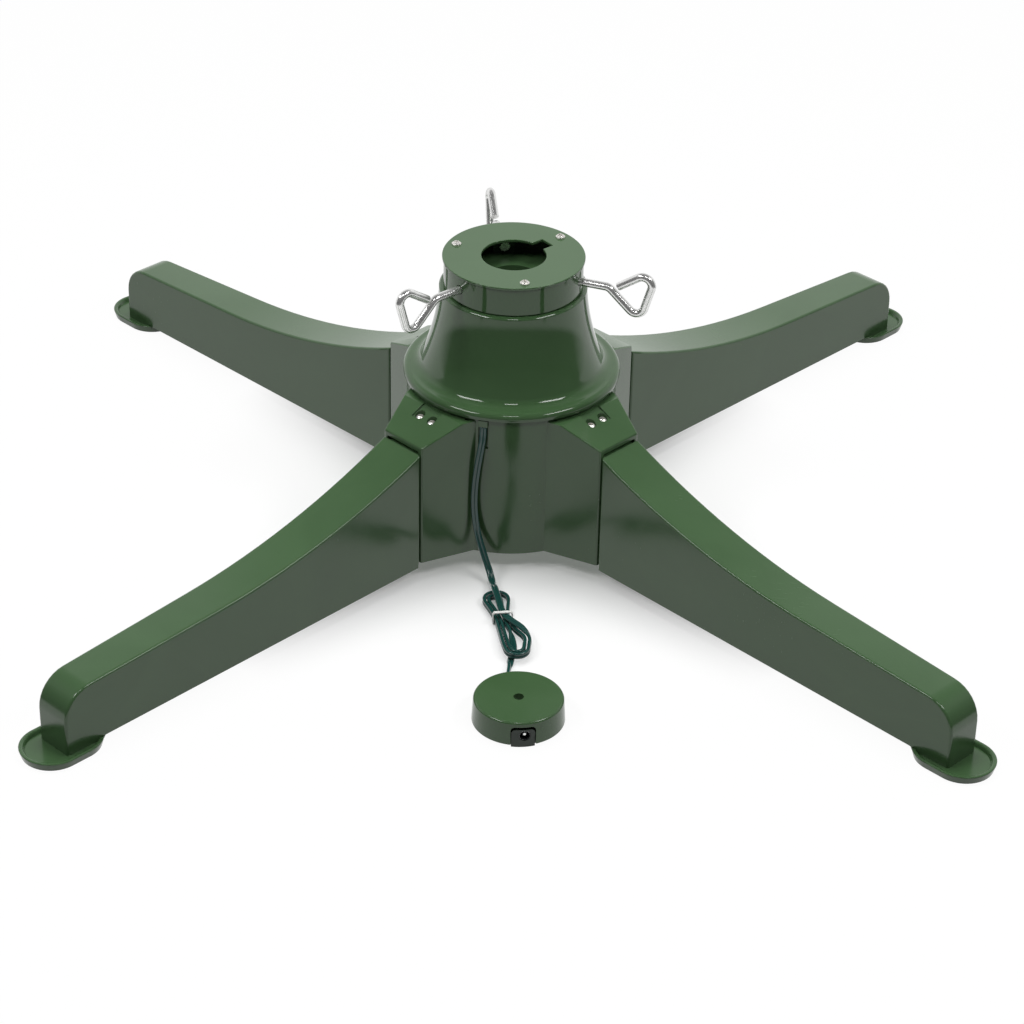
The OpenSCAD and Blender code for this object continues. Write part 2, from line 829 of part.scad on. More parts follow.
// One ring of an oval section, as wide and as thick over its corners as the cord
function oval_ring(centre, along, wide, w, t, sides) =
    let (w0 = unit(wide - along * (wide * along)), n0 = cross(w0, along),
         half_w = w / 2 / cos(180 / sides), half_t = t / 2 / (sides % 4 == 0 ? cos(180 / sides) : 1))
    [for (k = [0:sides - 1])
        let (a = 360 * (k + 0.5) / sides)
        centre + w0 * (half_w * cos(a)) + n0 * (half_t * sin(a))];

function tube_rings(path, wide, w, t, sides) =
    [for (i = [0:len(path) - 1]) oval_ring(path[i], tangent(path, i), wide[i], w, t, sides)];

module tube_from(rings, sides) {
    n = len(rings);
    polyhedron(
        points = [for (r = rings) each r],
        faces = concat(
            [for (i = [0:n - 2], k = [0:sides - 1])
                let (a = i * sides + k, b = i * sides + (k + 1) % sides)
                each [[a, b, b + sides], [a, b + sides, a + sides]]],
            [for (k = [1:sides - 2]) [0, k + 1, k]],
            [for (k = [1:sides - 2]) let (o = (n - 1) * sides) [o, o + k, o + k + 1]]));
}

// Points between hand-chosen ones, on a smooth curve through them, with straight ends
function curve_at(p, i, t) =
    let (a = p[i - 1], b = p[i], c = p[i + 1], d = p[i + 2])
    0.5 * (2 * b + (c - a) * t + (2 * a - 5 * b + 4 * c - d) * t * t + (3 * b - a - 3 * c + d) * t * t * t);
function smooth_path(p, n) =
    let (last = len(p) - 1)
    concat([p[0]], [for (i = [1:last - 2], k = [0:n - 1]) curve_at(p, i, k / n)], [p[last - 1], p[last]]);

// ---- Cord ------------------------------------------------------------------------------------------

cord_sides = 8;
exit_r = hub_r - groove_deep + cord_t / 2 + 0.4;
exit_dir = [cos(cord_angle), sin(cord_angle), 0];
exit_point = exit_r * exit_dir + [0, 0, deck_z - relief_h];
exit_second = exit_point - [0, 0, cord_w];

// From the strain relief down the hub's front to the hank
drop_route = [[-19.4, -70.7, 101], [-20.8, -71.4, 92], [-22.3, -71.5, 82], [-23.4, -71.2, 72],
    [-24, -71, 62], [-24, -71.3, 52], [-23.2, -72, 42], [-21.6, -73.6, 32.5], [-19.2, -76.4, 24],
    [-16.4, -80, 16.5], [-14.3, -82.9, 11.4], [-12.7, -85.7, 7.6], [-11.8, -88.2, 5.3]];
land = 0.8;
hank_u = unit([0.121, -0.9925, 0]);
hank_v = [-hank_u[1], hank_u[0], 0];
hank_c = [-4, -136, 0];
function hank_at(u, v, z) = hank_c + u * hank_u + v * hank_v + [0, 0, z];

hank_start = -46;
hank_side = -1.7;
hank_end = 56;
lead_z0 = 4.4;
lead_z1 = 7.6;
loop_z = 3.4;
loop_lift = 2.3;
out_z = 1.4;
edge_z = 2.6;
top_u = -23.6;
foot_u = 38.5;
run_pitch = 2.9;
fold_pitch = 3.2;

// Sides of the loops after n turns: at the top fold, at the foot fold and at the waist
function top_side(n, side) = side < 0 ? -10 + run_pitch * (n - 0.35) : 7 - 5.2 * (n - 0.65);
function foot_side(n, side) = side < 0 ? -2.8 + fold_pitch * (n - 0.15) : 12.8 - fold_pitch * (n + 0.15);
function waist_side(n, side) = side < 0 ? -4.6 + run_pitch * (n - 0.25) : 4.1 - run_pitch * (n - 0.75);
function loop_height(u) = loop_z + loop_lift * ease((u - 8) / 26);

// Offset of a run beside the axis: t goes from the top fold to the foot fold, by way of the waist
waist_t = -top_u / (foot_u - top_u);
function run_v(n, t, side) =
    let (v0 = top_side(n, side), v1 = foot_side(n, side),
         pull = sin(180 * pow(max(t, 0), ln(0.5) / ln(waist_t))),
         belly = side < 0 || t < waist_t ? 0 : sin(180 * pow((t - waist_t) / (1 - waist_t), 1.6)))
    v0 + (v1 - v0) * t - (v0 + (v1 - v0) * waist_t - waist_side(n, side)) * pull * pull
    + 3.4 * belly * belly;

// A fold is a half turn between the loops' two sides
function fold_v(low, high, a) = (low + high) / 2 + (high - low) / 2 * sin(a);
function fold_u(at, low, high, a, way) = at + way * (high - low) / 2 * cos(a);

// Place on the loops after n turns, counted from the foot of the hank
function loop_uv(n) =
    let (q = n - floor(n), span = foot_u - top_u,
         t0 = top_side(n, -1), t1 = top_side(n, 1), f0 = foot_side(n, -1), f1 = foot_side(n, 1))
    q < 0.15 ? let (a = -90 * q / 0.15) [fold_u(foot_u, f0, f1, a, 1), fold_v(f0, f1, a)]
    : q < 0.35 ? let (t = 1 - (q - 0.15) / 0.2) [top_u + span * t, run_v(n, t, -1)]
    : q < 0.65 ? let (a = 180 * (q - 0.5) / 0.3) [fold_u(top_u, t0, t1, a, -1), fold_v(t0, t1, a)]
    : q < 0.85 ? let (t = (q - 0.65) / 0.2) [top_u + span * t, run_v(n, t, 1)]
    : let (a = 90 * (1 - q) / 0.15) [fold_u(foot_u, f0, f1, a, 1), fold_v(f0, f1, a)];

up = [0, 0, 1];
// Every ring of the hank: its centre, and the direction of the cord's width
lead_in = [for (i = [0:20])
    let (u = hank_start + (foot_u - hank_start) * i / 21, turn = ease((u - 14) / 16),
         v = run_v(-0.15, (u - top_u) / (foot_u - top_u), 1) * ease((u + 6) / 22)
             + hank_side * (1 - ease((u - hank_start - 4.4) / 40)),
         rise = lead_z0 + (lead_z1 - lead_z0) * ease((u - hank_start - 4.4) / 8),
         z = rise + (loop_height(foot_u) - lead_z1) * turn)
    [hank_at(u, v, z), hank_v * cos(90 * turn) - up * sin(90 * turn)]];
loops = [for (i = [0:24 * (hank_loops - 0.2)])
    let (n = -0.15 + i / 24, p = loop_uv(n))
    [hank_at(p[0], p[1], loop_height(p[0])), -up]];
out_v = top_side(hank_loops - 0.35, 1);
lead_out = [for (i = [1:20])
    let (u = top_u + (hank_end - top_u) * i / 20, turn = 90 * (ease((u - 12) / 12) - ease((u - 46) / 7)),
         v = out_v + (1.2 - out_v) * ease((u - top_u) / 22) + 2.8 * ease((u - 1) / 17)
             - 3.8 * ease((u - 28) / 18) - 0.23 * max(0, u - 44),
         z = loop_z + (out_z - loop_z) * ease((u - 12) / 12) + (edge_z - out_z) * ease((u - 46) / 7))
    [hank_at(u, v, z), hank_v * sin(turn) - up * cos(turn)]];
hank_rings_at = concat(lead_in, loops, lead_out);

drop_points = concat([exit_point, exit_second], drop_route,
    [hank_at(hank_start - land, hank_side, lead_z0), hank_at(hank_start, hank_side, lead_z0)]);
gland_angle = 104;
gland_reach = 34;
switch_x = 6.3;
switch_y = -244.3;
gland_z = 4.2;
gland_dir = [cos(gland_angle), sin(gland_angle), 0];
gland_face = [switch_x, switch_y, gland_z] + gland_reach * gland_dir;
tail_start = lead_out[len(lead_out) - 1][0];
tail_dir = unit(tail_start - lead_out[len(lead_out) - 2][0]);
tail_points = [tail_start, tail_start + tail_dir * cord_w, [-0.4, -200.4, 3.2], [-1.3, -203.4, 3.8],
    gland_face + gland_dir * cord_w, gland_face];

module cord_tube(points, steps, across) {
    path = smooth_path(points, steps);
    rings = tube_rings(path, [for (p = path) across], cord_w, cord_t, cord_sides);
    color(teal) tube_from(rings, cord_sides);
}

module cord_drop() {
    path = smooth_path(drop_points, 3);
    last = len(path) - 1;
    side = cross(up, exit_dir);
    wide = [for (i = [0:last]) side + (hank_v - side) * ease((i - last / 2) / (last / 2 - 3))];
    color(teal) tube_from(tube_rings(path, wide, cord_w, cord_t, cord_sides), cord_sides);
}

// The cord runs on edge from the hank to the switch
module cord_tail() {
    cord_tube(tail_points, 3, up);
}

module cord_hank() {
    sides = 6;
    path = [for (r = hank_rings_at) r[0]];
    rings = tube_rings(path, [for (r = hank_rings_at) r[1]], cord_w, cord_t, sides);
    gaps = [for (i = [0:len(rings) - 1], j = [i + 4:1:len(rings) - 1])
        if (norm(path[i] - path[j]) < 7)
            min([for (a = rings[i], b = rings[j]) norm(a - b)])];
    echo(hank_gap = min(gaps), hank_length = path_length(path));
    color(teal) tube_from(rings, sides);
}

function path_length(p) = len(p) < 2 ? 0
    : [for (i = [0:len(p) - 2]) norm(p[i + 1] - p[i])] * [for (i = [0:len(p) - 2]) 1];

tie_w = 2.4;
tie_t = 0.8;
tie_half = 6.1;
tie_round = 2.2;
tie_top = lead_z1 + cord_t / 2 + 0.3 + tie_t;

// Rounded band round all the runs at the waist
module tie_outline(inset) {
    half = tie_half + tie_t - inset;
    tall = tie_top - 2 * inset;
    r = tie_round - inset;
    translate([-half + r, inset])
        square([2 * (half - r), tall]);
    translate([-half, inset + r])
        square([2 * half, tall - 2 * r]);
    for (side = [-1, 1], z = [inset + r, tie_top - inset - r])
        translate([side * (half - r), z])
            circle(r = r);
}

module hank_tie() {
    color("white") translate(hank_c) rotate(atan2(hank_u[1], hank_u[0]) + 90)
        rotate([90, 0, 0])
            linear_extrude(tie_w, center = true)
                difference() {
                    tie_outline(0);
                    tie_outline(tie_t);
                }
}

// Cord inside the hub, from the strain relief to the board, and the motor's two leads
inner_route = [[hub_in_r - 5, deck_z - 6], [hub_in_r - 9, deck_z - 6], [hub_in_r - 12, deck_z - 13],
    [pass_at, gear_deck_z + 10], [pass_at, gear_deck_z - 12], [pass_at, 42], [hub_in_r - 18, board_z + 12]];

module inner_cord() {
    points = concat([for (p = inner_route) p[0] * exit_dir + [0, 0, p[1]]],
        [[board_x - 2, board_y - 12 - cord_w, board_z + 5], [board_x - 2, board_y - 12, board_z + 5]]);
    cord_tube(points, 3, cross(exit_dir, up));
}

module motor_leads() {
    lead_d = 1.6;
    can_z0 = gear_deck_z - gearbox_h - can_h;
    at = motor_at * [cos(motor_angle), sin(motor_angle), 0];
    across = [-sin(motor_angle), cos(motor_angle), 0];
    for (side = [-1, 1]) {
        start = at + across * side * 8 + [0, 0, can_z0 - 3];
        finish = [board_x - 2 - side * 2.5, board_y - 4, board_z + 8];
        middle = (start + finish) / 2;
        points = [start, start - [0, 0, 2.2], start + [3, -6, -4.6], [middle[0], middle[1], board_z + 3],
                  finish + [0, 12, 0], finish + [0, 4, 0], finish];
        path = smooth_path(points, 3);
        color(side > 0 ? "firebrick" : black)
            tube_from(tube_rings(path, [for (p = path) [0.9, 0.45, 0]], lead_d, lead_d, 6), 6);
    }
}

// ---- Turntable ---------------------------------------------------------------------------------------

module race(z0, groove_z) {
    color(zinc) difference() {
        translate([0, 0, z0])
            ring(race_out, race_in, race_t);
        translate([0, 0, groove_z])
            rotate_extrude()
                translate([race_mid, 0])
                    circle(r = ball_d / 2 + ball_gap, $fn = 48);
    }
}

module bearing_lower_race() {
    race(pocket_z, ball_z);
}

module bearing_upper_race() {
    race(race_z1 - race_t, ball_z);
}

module bearing_balls() {
    color([0.8, 0.8, 0.82]) for (i = [0:ball_count - 1])
        at_polar(i * 360 / ball_count, race_mid, ball_z)
            sphere(d = ball_d, $fn = 48);
}

module bearing_cage() {
    color([0.75, 0.6, 0.3]) difference() {
        translate([0, 0, ball_z - 0.7])
            ring(race_out - 1.2, race_in + 1.2, 1.4);
        for (i = [0:ball_count - 1])
            at_polar(i * 360 / ball_count, race_mid, ball_z - 2)
                cylinder(d = ball_d + 0.16, h = 4);
    }
}

collar_r = collar_d / 2;
post_at = 41;
post_r = 4.2;
nut_r0 = collar_r - 7.5;
nut_t = 5;
nut_w = 10;

module collar() {
    color(green) difference() {
        union() {
            difference() {
                translate([0, 0, collar_z0])
                    cylinder(r = collar_r, h = collar_h);
                translate([0, 0, collar_floor_z])
                    cylinder(r = collar_r - collar_wall, h = collar_h);
            }
            translate([0, 0, collar_z0 - neck_l])
                cylinder(r = neck_r, h = neck_l + eps);
            for (a = screw_angles) {
                // Posts for the plate's screws, between the thumb screws
                at_polar(spin_rest + 60 + a, post_at, collar_floor_z - eps)
                    cylinder(r = post_r, h = collar_z1 - collar_floor_z + eps);
                // Bosses that hold the thumb screws' nuts
                rotate(spin_rest + a)
                    translate([nut_r0 - 2, -nut_w / 2 - 2.4, collar_floor_z - eps])
                        cube([collar_r - 2 - nut_r0 + 1, nut_w + 4.8, collar_z1 - collar_floor_z - 0.4]);
            }
        }
        translate([0, 0, collar_z0 - 1])
            cylinder(r = pole_r, h = collar_floor + 2);
        translate([0, 0, collar_z0 - neck_l - 1])
            cylinder(r = socket_r + neck_play, h = neck_l + 1);
        for (a = screw_angles) {
            at_polar(spin_rest + 60 + a, post_at, collar_z1 - 11)
                cylinder(d = 3 + 2 * screw_play, h = 12);
            rotate(spin_rest + a) {
                translate([nut_r0, -nut_w / 2 - 0.1, stem_z - nut_w / 2 - 0.1])
                    cube([nut_t + 0.2, nut_w + 0.2, collar_z1]);
                translate([nut_r0 - 4, 0, stem_z])
                    rotate([0, 90, 0])
                        cylinder(d = rod_d + 0.5, h = 30);
            }
        }
        for (a = [30, 210])
            rotate(spin_rest + a)
                translate([socket_r - 2, 0, collar_z0 - neck_l + 5])
                    rotate([0, 90, 0])
                        cylinder(d = 2.5 + 2 * screw_play, h = 10);
    }
}

module top_plate() {
    color(green) difference() {
        translate([0, 0, collar_z1])
            cylinder(d = plate_d, h = plate_t);
        translate([0, 0, collar_z1 - 1])
            cylinder(d = mouth_d, h = plate_t + 2);
        rotate(spin_rest + 60)
            translate([0, -notch_w / 2, collar_z1 - 1])
                cube([notch_reach, notch_w, plate_t + 2]);
        for (a = screw_angles)
            at_polar(spin_rest + 60 + a, post_at, collar_z1 - 1)
                cylinder(d = 3 + 2 * screw_play, h = plate_t + 2);
    }
}

module plate_screws() {
    color(zinc) for (a = screw_angles)
        at_polar(spin_rest + 60 + a, post_at, plate_z1)
            pan_screw(3, 10, 6.4, 1.9);
}

module clamp_nuts() {
    color(zinc) for (a = screw_angles)
        rotate(spin_rest + a)
            difference() {
                translate([nut_r0 + 0.1, -nut_w / 2, stem_z - nut_w / 2])
                    cube([nut_t, nut_w, nut_w]);
                translate([nut_r0 - 1, 0, stem_z])
                    rotate([0, 90, 0])
                        cylinder(d = rod_d + 2 * screw_play, h = nut_t + 3);
            }
}

module pole_socket() {
    color(green) difference() {
        translate([0, 0, socket_z0])
            cylinder(r = socket_r, h = collar_z0 - socket_z0);
        translate([0, 0, socket_z0 + socket_floor])
            cylinder(r = pole_r, h = collar_z0 - socket_z0);
        // Groove for the spring clip
        translate([0, 0, bush_z0 - 1.6])
            ring(socket_r + 1, socket_r - 1, 1.4);
        for (a = [30, 210])
            rotate(spin_rest + a)
                translate([pole_r - 1, 0, collar_z0 - neck_l + 5])
                    rotate([0, 90, 0])
                        cylinder(d = 2.5 + 2 * screw_play, h = 10);
    }
}

// Grub screws that lock the socket in the collar's neck
module socket_screws() {
    color(black) for (a = [30, 210])
        rotate(spin_rest + a)
            translate([pole_r + 0.5, 0, collar_z0 - neck_l + 5])
                rotate([0, 90, 0])
                    cylinder(d = 2.5, h = neck_r - pole_r - 0.7);
}

// Involute tooth outline; slack thins the teeth
function involute(base_r, a) = base_r * [cos(a) + a * PI / 180 * sin(a), sin(a) - a * PI / 180 * cos(a)];
function turn2(p, a) = [p[0] * cos(a) - p[1] * sin(a), p[0] * sin(a) + p[1] * cos(a)];

module gear_2d(teeth, slack, phase) {
    r_pitch = gear_m * teeth / 2;
    r_base = r_pitch * cos(20);
    r_tip = r_pitch + gear_m * 0.9;
    r_root = r_pitch - gear_m * 1.2;
    a_tip = sqrt(pow(r_tip / r_base, 2) - 1) * 180 / PI;
    a_pitch = tan(20) * 180 / PI;
    at_pitch = atan2(involute(r_base, a_pitch)[1], involute(r_base, a_pitch)[0]);
    half = 90 / teeth - slack + at_pitch;
    flank = [for (i = [0:4]) turn2(involute(r_base, a_tip * i / 4), -half)];
    root = r_root * [cos(half), -sin(half)];
    polygon([for (k = [0:teeth - 1])
        let (turn = phase + 360 * k / teeth)
        each concat(
            [turn2(root, turn)],
            [for (p = flank) turn2(p, turn)],
            [for (i = [4:-1:0]) turn2([flank[i][0], -flank[i][1]], turn)],
            [turn2([root[0], -root[1]], turn)])]);
}

module ring_gear() {
    color([0.85, 0.84, 0.78]) translate([0, 0, ring_z0]) difference() {
        union() {
            linear_extrude(ring_face)
                gear_2d(ring_teeth, 0.12, motor_angle);
            cylinder(r = socket_r + 4, h = ring_face + 8);
        }
        translate([0, 0, -1])
            cylinder(r = socket_r + neck_play, h = ring_face + 12);
        for (a = [0:60:300])
            at_polar(a + 15, (socket_r + 4 + pitch_r) / 2, -1)
                cylinder(r = 2.6, h = ring_face + 2);
    }
}

module pinion() {
    color([0.85, 0.84, 0.78]) at_polar(motor_angle, motor_at, ring_z0 - 1) difference() {
        union() {
            linear_extrude(ring_face + 2)
                gear_2d(pinion_teeth, 0.35, 180 + 180 / pinion_teeth);
            translate([0, 0, -3])
                cylinder(r = 5.2, h = 3 + eps);
        }
        translate([0, 0, -5])
            cylinder(d = shaft_d, h = ring_face + 10);
    }
}

module output_shaft() {
    color(zinc) at_polar(motor_angle, motor_at, gear_deck_z - 7)
        cylinder(d = shaft_d, h = ring_z0 + ring_face + 1 - gear_deck_z + 7);
}

// ---- Thumb screws ------------------------------------------------------------------------------------

bend_x = collar_r + stem_out;
tip_d = 8;
tip_l = 4;
pin_d = 3;
pin_in = 2.6;
loop_low = 0.66;
loop_end = [6.8, 1.7];
loop_points = [[bend_x, 0], [bend_x + loop_reach * loop_low, -loop_drop],
    [bend_x + loop_reach, loop_rise], [bend_x + loop_end[0], loop_end[1]]];

// Rod along a flat route with rounded corners; each corner is [point before, corner, point after]
function corner_turn(a, b, c) =
    let (u = unit(b - a), v = unit(c - b)) atan2(u[0] * v[1] - u[1] * v[0], u * v);
function corner_cut(a, b, c, r) = r * tan(abs(corner_turn(a, b, c)) / 2);

module rod_bend(a, b, c, r) {
    turn = corner_turn(a, b, c);
    u = unit(b - a);
    start = b - u * corner_cut(a, b, c, r);
    centre = start + (turn > 0 ? 1 : -1) * r * [-u[1], u[0]];
    from = start - centre;
    a0 = atan2(from[1], from[0]);
    translate([centre[0], 0, centre[1]])
        rotate([90, 0, 0])
            rotate(turn > 0 ? a0 : a0 + turn)
                rotate_extrude(angle = abs(turn))
                    translate([r, 0])
                        circle(d = rod_d, $fn = 48);
}

module rod_run(p, q) {
    d = q - p;
    translate([p[0], 0, p[1]])
        rotate([0, 90 - atan2(d[1], d[0]), 0])
            cylinder(d = rod_d, h = norm(d), $fn = 48);
}

module thumb_screw(angle) {
    p = loop_points;
    before = [tip_rest + tip_l, 0];
    pts = [before, p[0], p[1], p[2], p[3]];
    color(zinc) rotate(spin_rest + angle) translate([0, 0, stem_z]) {
        for (i = [0:3]) {
            u = unit(pts[i + 1] - pts[i]);
            cut0 = i == 0 ? 0 : corner_cut(pts[i - 1], pts[i], pts[i + 1], bend_r);
            cut1 = i == 3 ? 0 : corner_cut(pts[i], pts[i + 1], pts[i + 2], bend_r);
            rod_run(pts[i] + u * cut0, pts[i + 1] - u * cut1);
        }
        for (i = [1:3]) {
            cut = corner_cut(pts[i - 1], pts[i], pts[i + 1], bend_r);
            rod_bend(pts[i - 1], pts[i], pts[i + 1], bend_r);
            // A hair of overlap where a straight run meets a bend
            for (p = [pts[i] - unit(pts[i] - pts[i - 1]) * cut, pts[i] + unit(pts[i + 1] - pts[i]) * cut])
                translate([p[0], 0, p[1]])
                    sphere(d = rod_d + 0.04, $fn = 48);
        }
        translate([tip_rest + tip_l - pin_in, 0, 0])
            rotate([0, 90, 0])
                cylinder(d = pin_d, h = pin_in + 1);
    }
}

// Pressure pad that swivels on the screw's end
module screw_tip(angle) {
    color([0.6, 0.6, 0.58]) rotate(spin_rest + angle) translate([tip_rest, 0, stem_z])
        rotate([0, 90, 0])
            difference() {
                union() {
                    cylinder(d1 = tip_d - 1.4, d2 = tip_d, h = 1);
                    translate([0, 0, 1])
                        cylinder(d = tip_d, h = tip_l - 1.3);
                }
                translate([0, 0, tip_l - pin_in - 0.1])
                    cylinder(d = pin_d + 2 * screw_play, h = 5);
            }
}

// ---- Foot switch --------------------------------------------------------------------------------------

cap_r = cap_d / 2;
cap_wall = 2.4;
cap_gap = cap_travel + 0.4;
base_r = cap_top_d / 2 - cap_wall;
base_floor = 2;
base_wall = 2;
base_h = 9;
sleeve_r = 6;
shoulder_h = 2.4;
head_z = 9.6;
head_h = 2.4;
shank_d = 4;
pillar_top = head_z - shoulder_h - cap_travel - 0.4;
jack_angle = -84;
panel_half = 7.6;
panel_top = 13;
panel_round = 3;
jack_side = 1;
board_t = 1.6;
board_top = base_floor + board_t;
board_r = base_r - base_wall - 0.4;
board_in_r = 10.4;
jack_h = 9;
jack_z = board_top + jack_h / 2 + 0.4;
jack_front = cap_r - 3.4;
jack_back = cap_r - 15;
gland_half = 2.6;
gland_top = 6.8;
push_angle = 150;
push_at = 17;
push_h = 5;
spring_r = 8.2;
spring_wire = 0.9;
spring_turns = 5;

module at_switch() {
    translate([switch_x, switch_y, 0])
        children();
}

module wall_slot(angle, r0, half, z1) {
    rotate(angle)
        translate([r0, -half, -1])
            cube([20, 2 * half, z1 + 1]);
}

// Upright outline of the jack's panel, its top corners rounded, grown by a gap
module panel_outline(gap, z0, z1) {
    half = panel_half + gap;
    translate([-half, z0])
        square([2 * half, z1 + gap - panel_round - z0]);
    translate([-half + panel_round, z0])
        square([2 * (half - panel_round), z1 + gap - z0]);
    for (side = [-1, 1])
        translate([side * (half - panel_round), z1 + gap - panel_round])
            circle(r = panel_round);
}

module panel_block(gap, z0, z1, x0, x1) {
    rotate(jack_angle)
        translate([x0, 0, 0])
            rotate([90, 0, 90])
                linear_extrude(x1 - x0)
                    panel_outline(gap, z0, z1);
}

module pedal_cap() {
    color(green) at_switch() difference() {
        union() {
            difference() {
                rotate_extrude()
                    polygon([[0, cap_gap], [cap_r, cap_gap], [cap_top_d / 2, cap_h - 1.2],
                             [cap_top_d / 2 - 0.35, cap_h - 0.35], [cap_top_d / 2 - 1.2, cap_h], [0, cap_h]]);
                translate([0, 0, cap_gap - 1])
                    cylinder(r1 = cap_r - cap_wall, r2 = cap_top_d / 2 - cap_wall,
                        h = cap_h - cap_wall - cap_gap + 1);
            }
            translate([0, 0, head_z - shoulder_h])
                cylinder(r = sleeve_r, h = cap_h - head_z + shoulder_h - 1);
        }
        translate([0, 0, head_z])
            cylinder(d = cap_hole_d, h = cap_h);
        translate([0, 0, head_z - shoulder_h - 1])
            cylinder(d = shank_d + 2 * 0.1, h = cap_h);
        // Openings in the wall for the jack's panel and for the cord
        panel_block(0.5, 0, panel_top + cap_travel, cap_r - 8, cap_r + 4);
        wall_slot(gland_angle, cap_r - 8, gland_half + 0.5, gland_top + cap_travel + 0.5);
    }
}

module switch_base() {
    color([0.2, 0.22, 0.2]) at_switch() difference() {
        union() {
            cylinder(r = base_r, h = base_floor);
            ring(base_r, base_r - base_wall, base_h);
            cylinder(r = 4.5, h = pillar_top);
            // Step in the floor that the jack's panel stands on
            intersection() {
                cylinder(r = cap_r - 1, h = base_floor);
                rotate(jack_angle)
                    translate([0, -panel_half, 0])
                        cube([cap_r, 2 * panel_half, base_floor]);
            }
        }
        translate([0, 0, 0.8])
            cylinder(d = 3 + 2 * screw_play, h = 20);
        translate([0, 0, base_floor]) {
            rotate(jack_angle)
                translate([base_r - 6, -panel_half - 0.3, 0])
                    cube([20, 2 * panel_half + 0.6, 20]);
            rotate(gland_angle)
                translate([base_r - 6, -gland_half - 0.1, 0])
                    cube([20, 2 * gland_half + 0.2, 20]);
        }
    }
}

module pedal_spring() {
    z0 = base_floor + spring_wire / 2 + 0.05;
    z1 = cap_h - cap_wall - spring_wire / 2 - 0.05;
    steps = spring_turns * 8;
    path = [for (i = [0:steps])
        [spring_r * cos(i * 45), spring_r * sin(i * 45), z0 + (z1 - z0) * i / steps]];
    rings = tube_rings(path, [for (p = path) up], spring_wire, spring_wire, 6);
    color(zinc) at_switch()
        tube_from(rings, 6);
}

// Shouldered screw that holds the cap down on its spring
module pedal_screw() {
    color(black) at_switch() {
        translate([0, 0, head_z])
            cylinder(d = cap_hole_d - 0.8, h = head_h);
        translate([0, 0, pillar_top])
            cylinder(d = shank_d, h = head_z - pillar_top + eps);
        translate([0, 0, 1.4])
            cylinder(d = 3, h = pillar_top - 1.4 + eps);
    }
}

// Dark panel that fills the opening in the cap; it stands on the base
module jack_panel() {
    color([0.17, 0.17, 0.19]) at_switch() {
        difference() {
            intersection() {
                ring(cap_r - 1, cap_r - 2.6, panel_top);
                panel_block(0, base_floor, panel_top, 10, cap_r + 2);
            }
            rotate(jack_angle)
                translate([0, jack_side, jack_z])
                    rotate([0, 90, 0])
                        cylinder(d = jack_d + 1.2, h = cap_r + 2);
        }
        // Ribs that brace the panel on the board
        for (side = [-1, 1])
            rotate(jack_angle)
                translate([jack_back + 2, side * (panel_half - 0.6) - 0.6, board_top])
                    cube([cap_r - 2 - jack_back - 2 - 0.9, 1.2, 5]);
    }
}

module power_jack() {
    color(black) at_switch() rotate(jack_angle) translate([0, jack_side, jack_z]) {
        difference() {
            union() {
                translate([jack_back, -jack_h / 2, board_top - jack_z])
                    cube([jack_front - jack_back, jack_h, jack_h]);
                translate([jack_front - eps, 0, 0])
                    rotate([0, 90, 0])
                        cylinder(d = jack_d + 1, h = 2.1);
            }
            translate([jack_back + 2, 0, 0])
                rotate([0, 90, 0])
                    cylinder(d = jack_d, h = 20);
        }
        translate([jack_back + 1.5, 0, 0])
            rotate([0, 90, 0])
                cylinder(d = 2, h = jack_front - jack_back - 1);
    }
}

module switch_board() {
    color([0.1, 0.3, 0.16]) at_switch() difference() {
        translate([0, 0, base_floor])
            ring(board_r, board_in_r, board_t);
        wall_slot(gland_angle, base_r - 7, gland_half + 0.3, 20);
    }
}

// Push switch on the board, pressed by a plunger under the cap
module push_switch() {
    color(black) at_switch() rotate(push_angle) translate([push_at, 0, board_top]) difference() {
        translate([-3.5, -3.5, 0])
            cube([7, 7, push_h]);
        translate([0, 0, 1])
            cylinder(d = 3.2, h = push_h);
    }
}

module switch_plunger() {
    plunger_z = board_top + 1 + cap_travel + 0.4;
    color("white") at_switch() rotate(push_angle) translate([push_at, 0, plunger_z])
        cylinder(d = 3, h = cap_h - cap_wall - plunger_z);
}

// Moulded sleeve that the cord comes in through
module switch_gland() {
    color(teal) at_switch() rotate(gland_angle) {
        translate([base_r - 5, -gland_half, base_floor])
            cube([cap_r - base_r + 6, 2 * gland_half, gland_top - base_floor]);
        translate([base_r, -cord_t / 2 - 0.5, gland_z - cord_w / 2 - 0.3])
            cube([gland_reach - base_r, cord_t + 1, cord_w + 0.6]);
    }
}

// ---- Nodes ------------------------------------------------------------------------------------------

hub_housing();
bottom_cover();
cover_screws();
leg(leg_angles[0]);  // leg_front_left
leg(leg_angles[1]);  // leg_front_right
leg(leg_angles[2]);  // leg_back_left
leg(leg_angles[3]);  // leg_back_right
foot_pad(leg_angles[0]);  // foot_pad_front_left
foot_pad(leg_angles[1]);  // foot_pad_front_right
foot_pad(leg_angles[2]);  // foot_pad_back_left
foot_pad(leg_angles[3]);  // foot_pad_back_right
pad_screws();
leg_screws();
bell_cover();
bell_screws();
gear_deck();
deck_screws();
lower_bush();
retaining_ring();
gearbox();
motor_can();
motor_screws();
control_board();
board_parts();
strain_relief();
inner_cord();
motor_leads();
bearing_lower_race();
bearing_cage();
bearing_balls();
bearing_upper_race();
collar();
top_plate();
plate_screws();
clamp_nuts();
pole_socket();
socket_screws();
ring_gear();
pinion();
output_shaft();
thumb_screw(0);  // thumb_screw_right
thumb_screw(120);  // thumb_screw_back
thumb_screw(240);  // thumb_screw_left
screw_tip(0);  // screw_tip_right
screw_tip(120);  // screw_tip_back
screw_tip(240);  // screw_tip_left
cord_drop();
cord_hank();
hank_tie();
cord_tail();
switch_gland();
switch_base();
pedal_cap();
pedal_spring();
pedal_screw();
jack_panel();
power_jack();
switch_board();
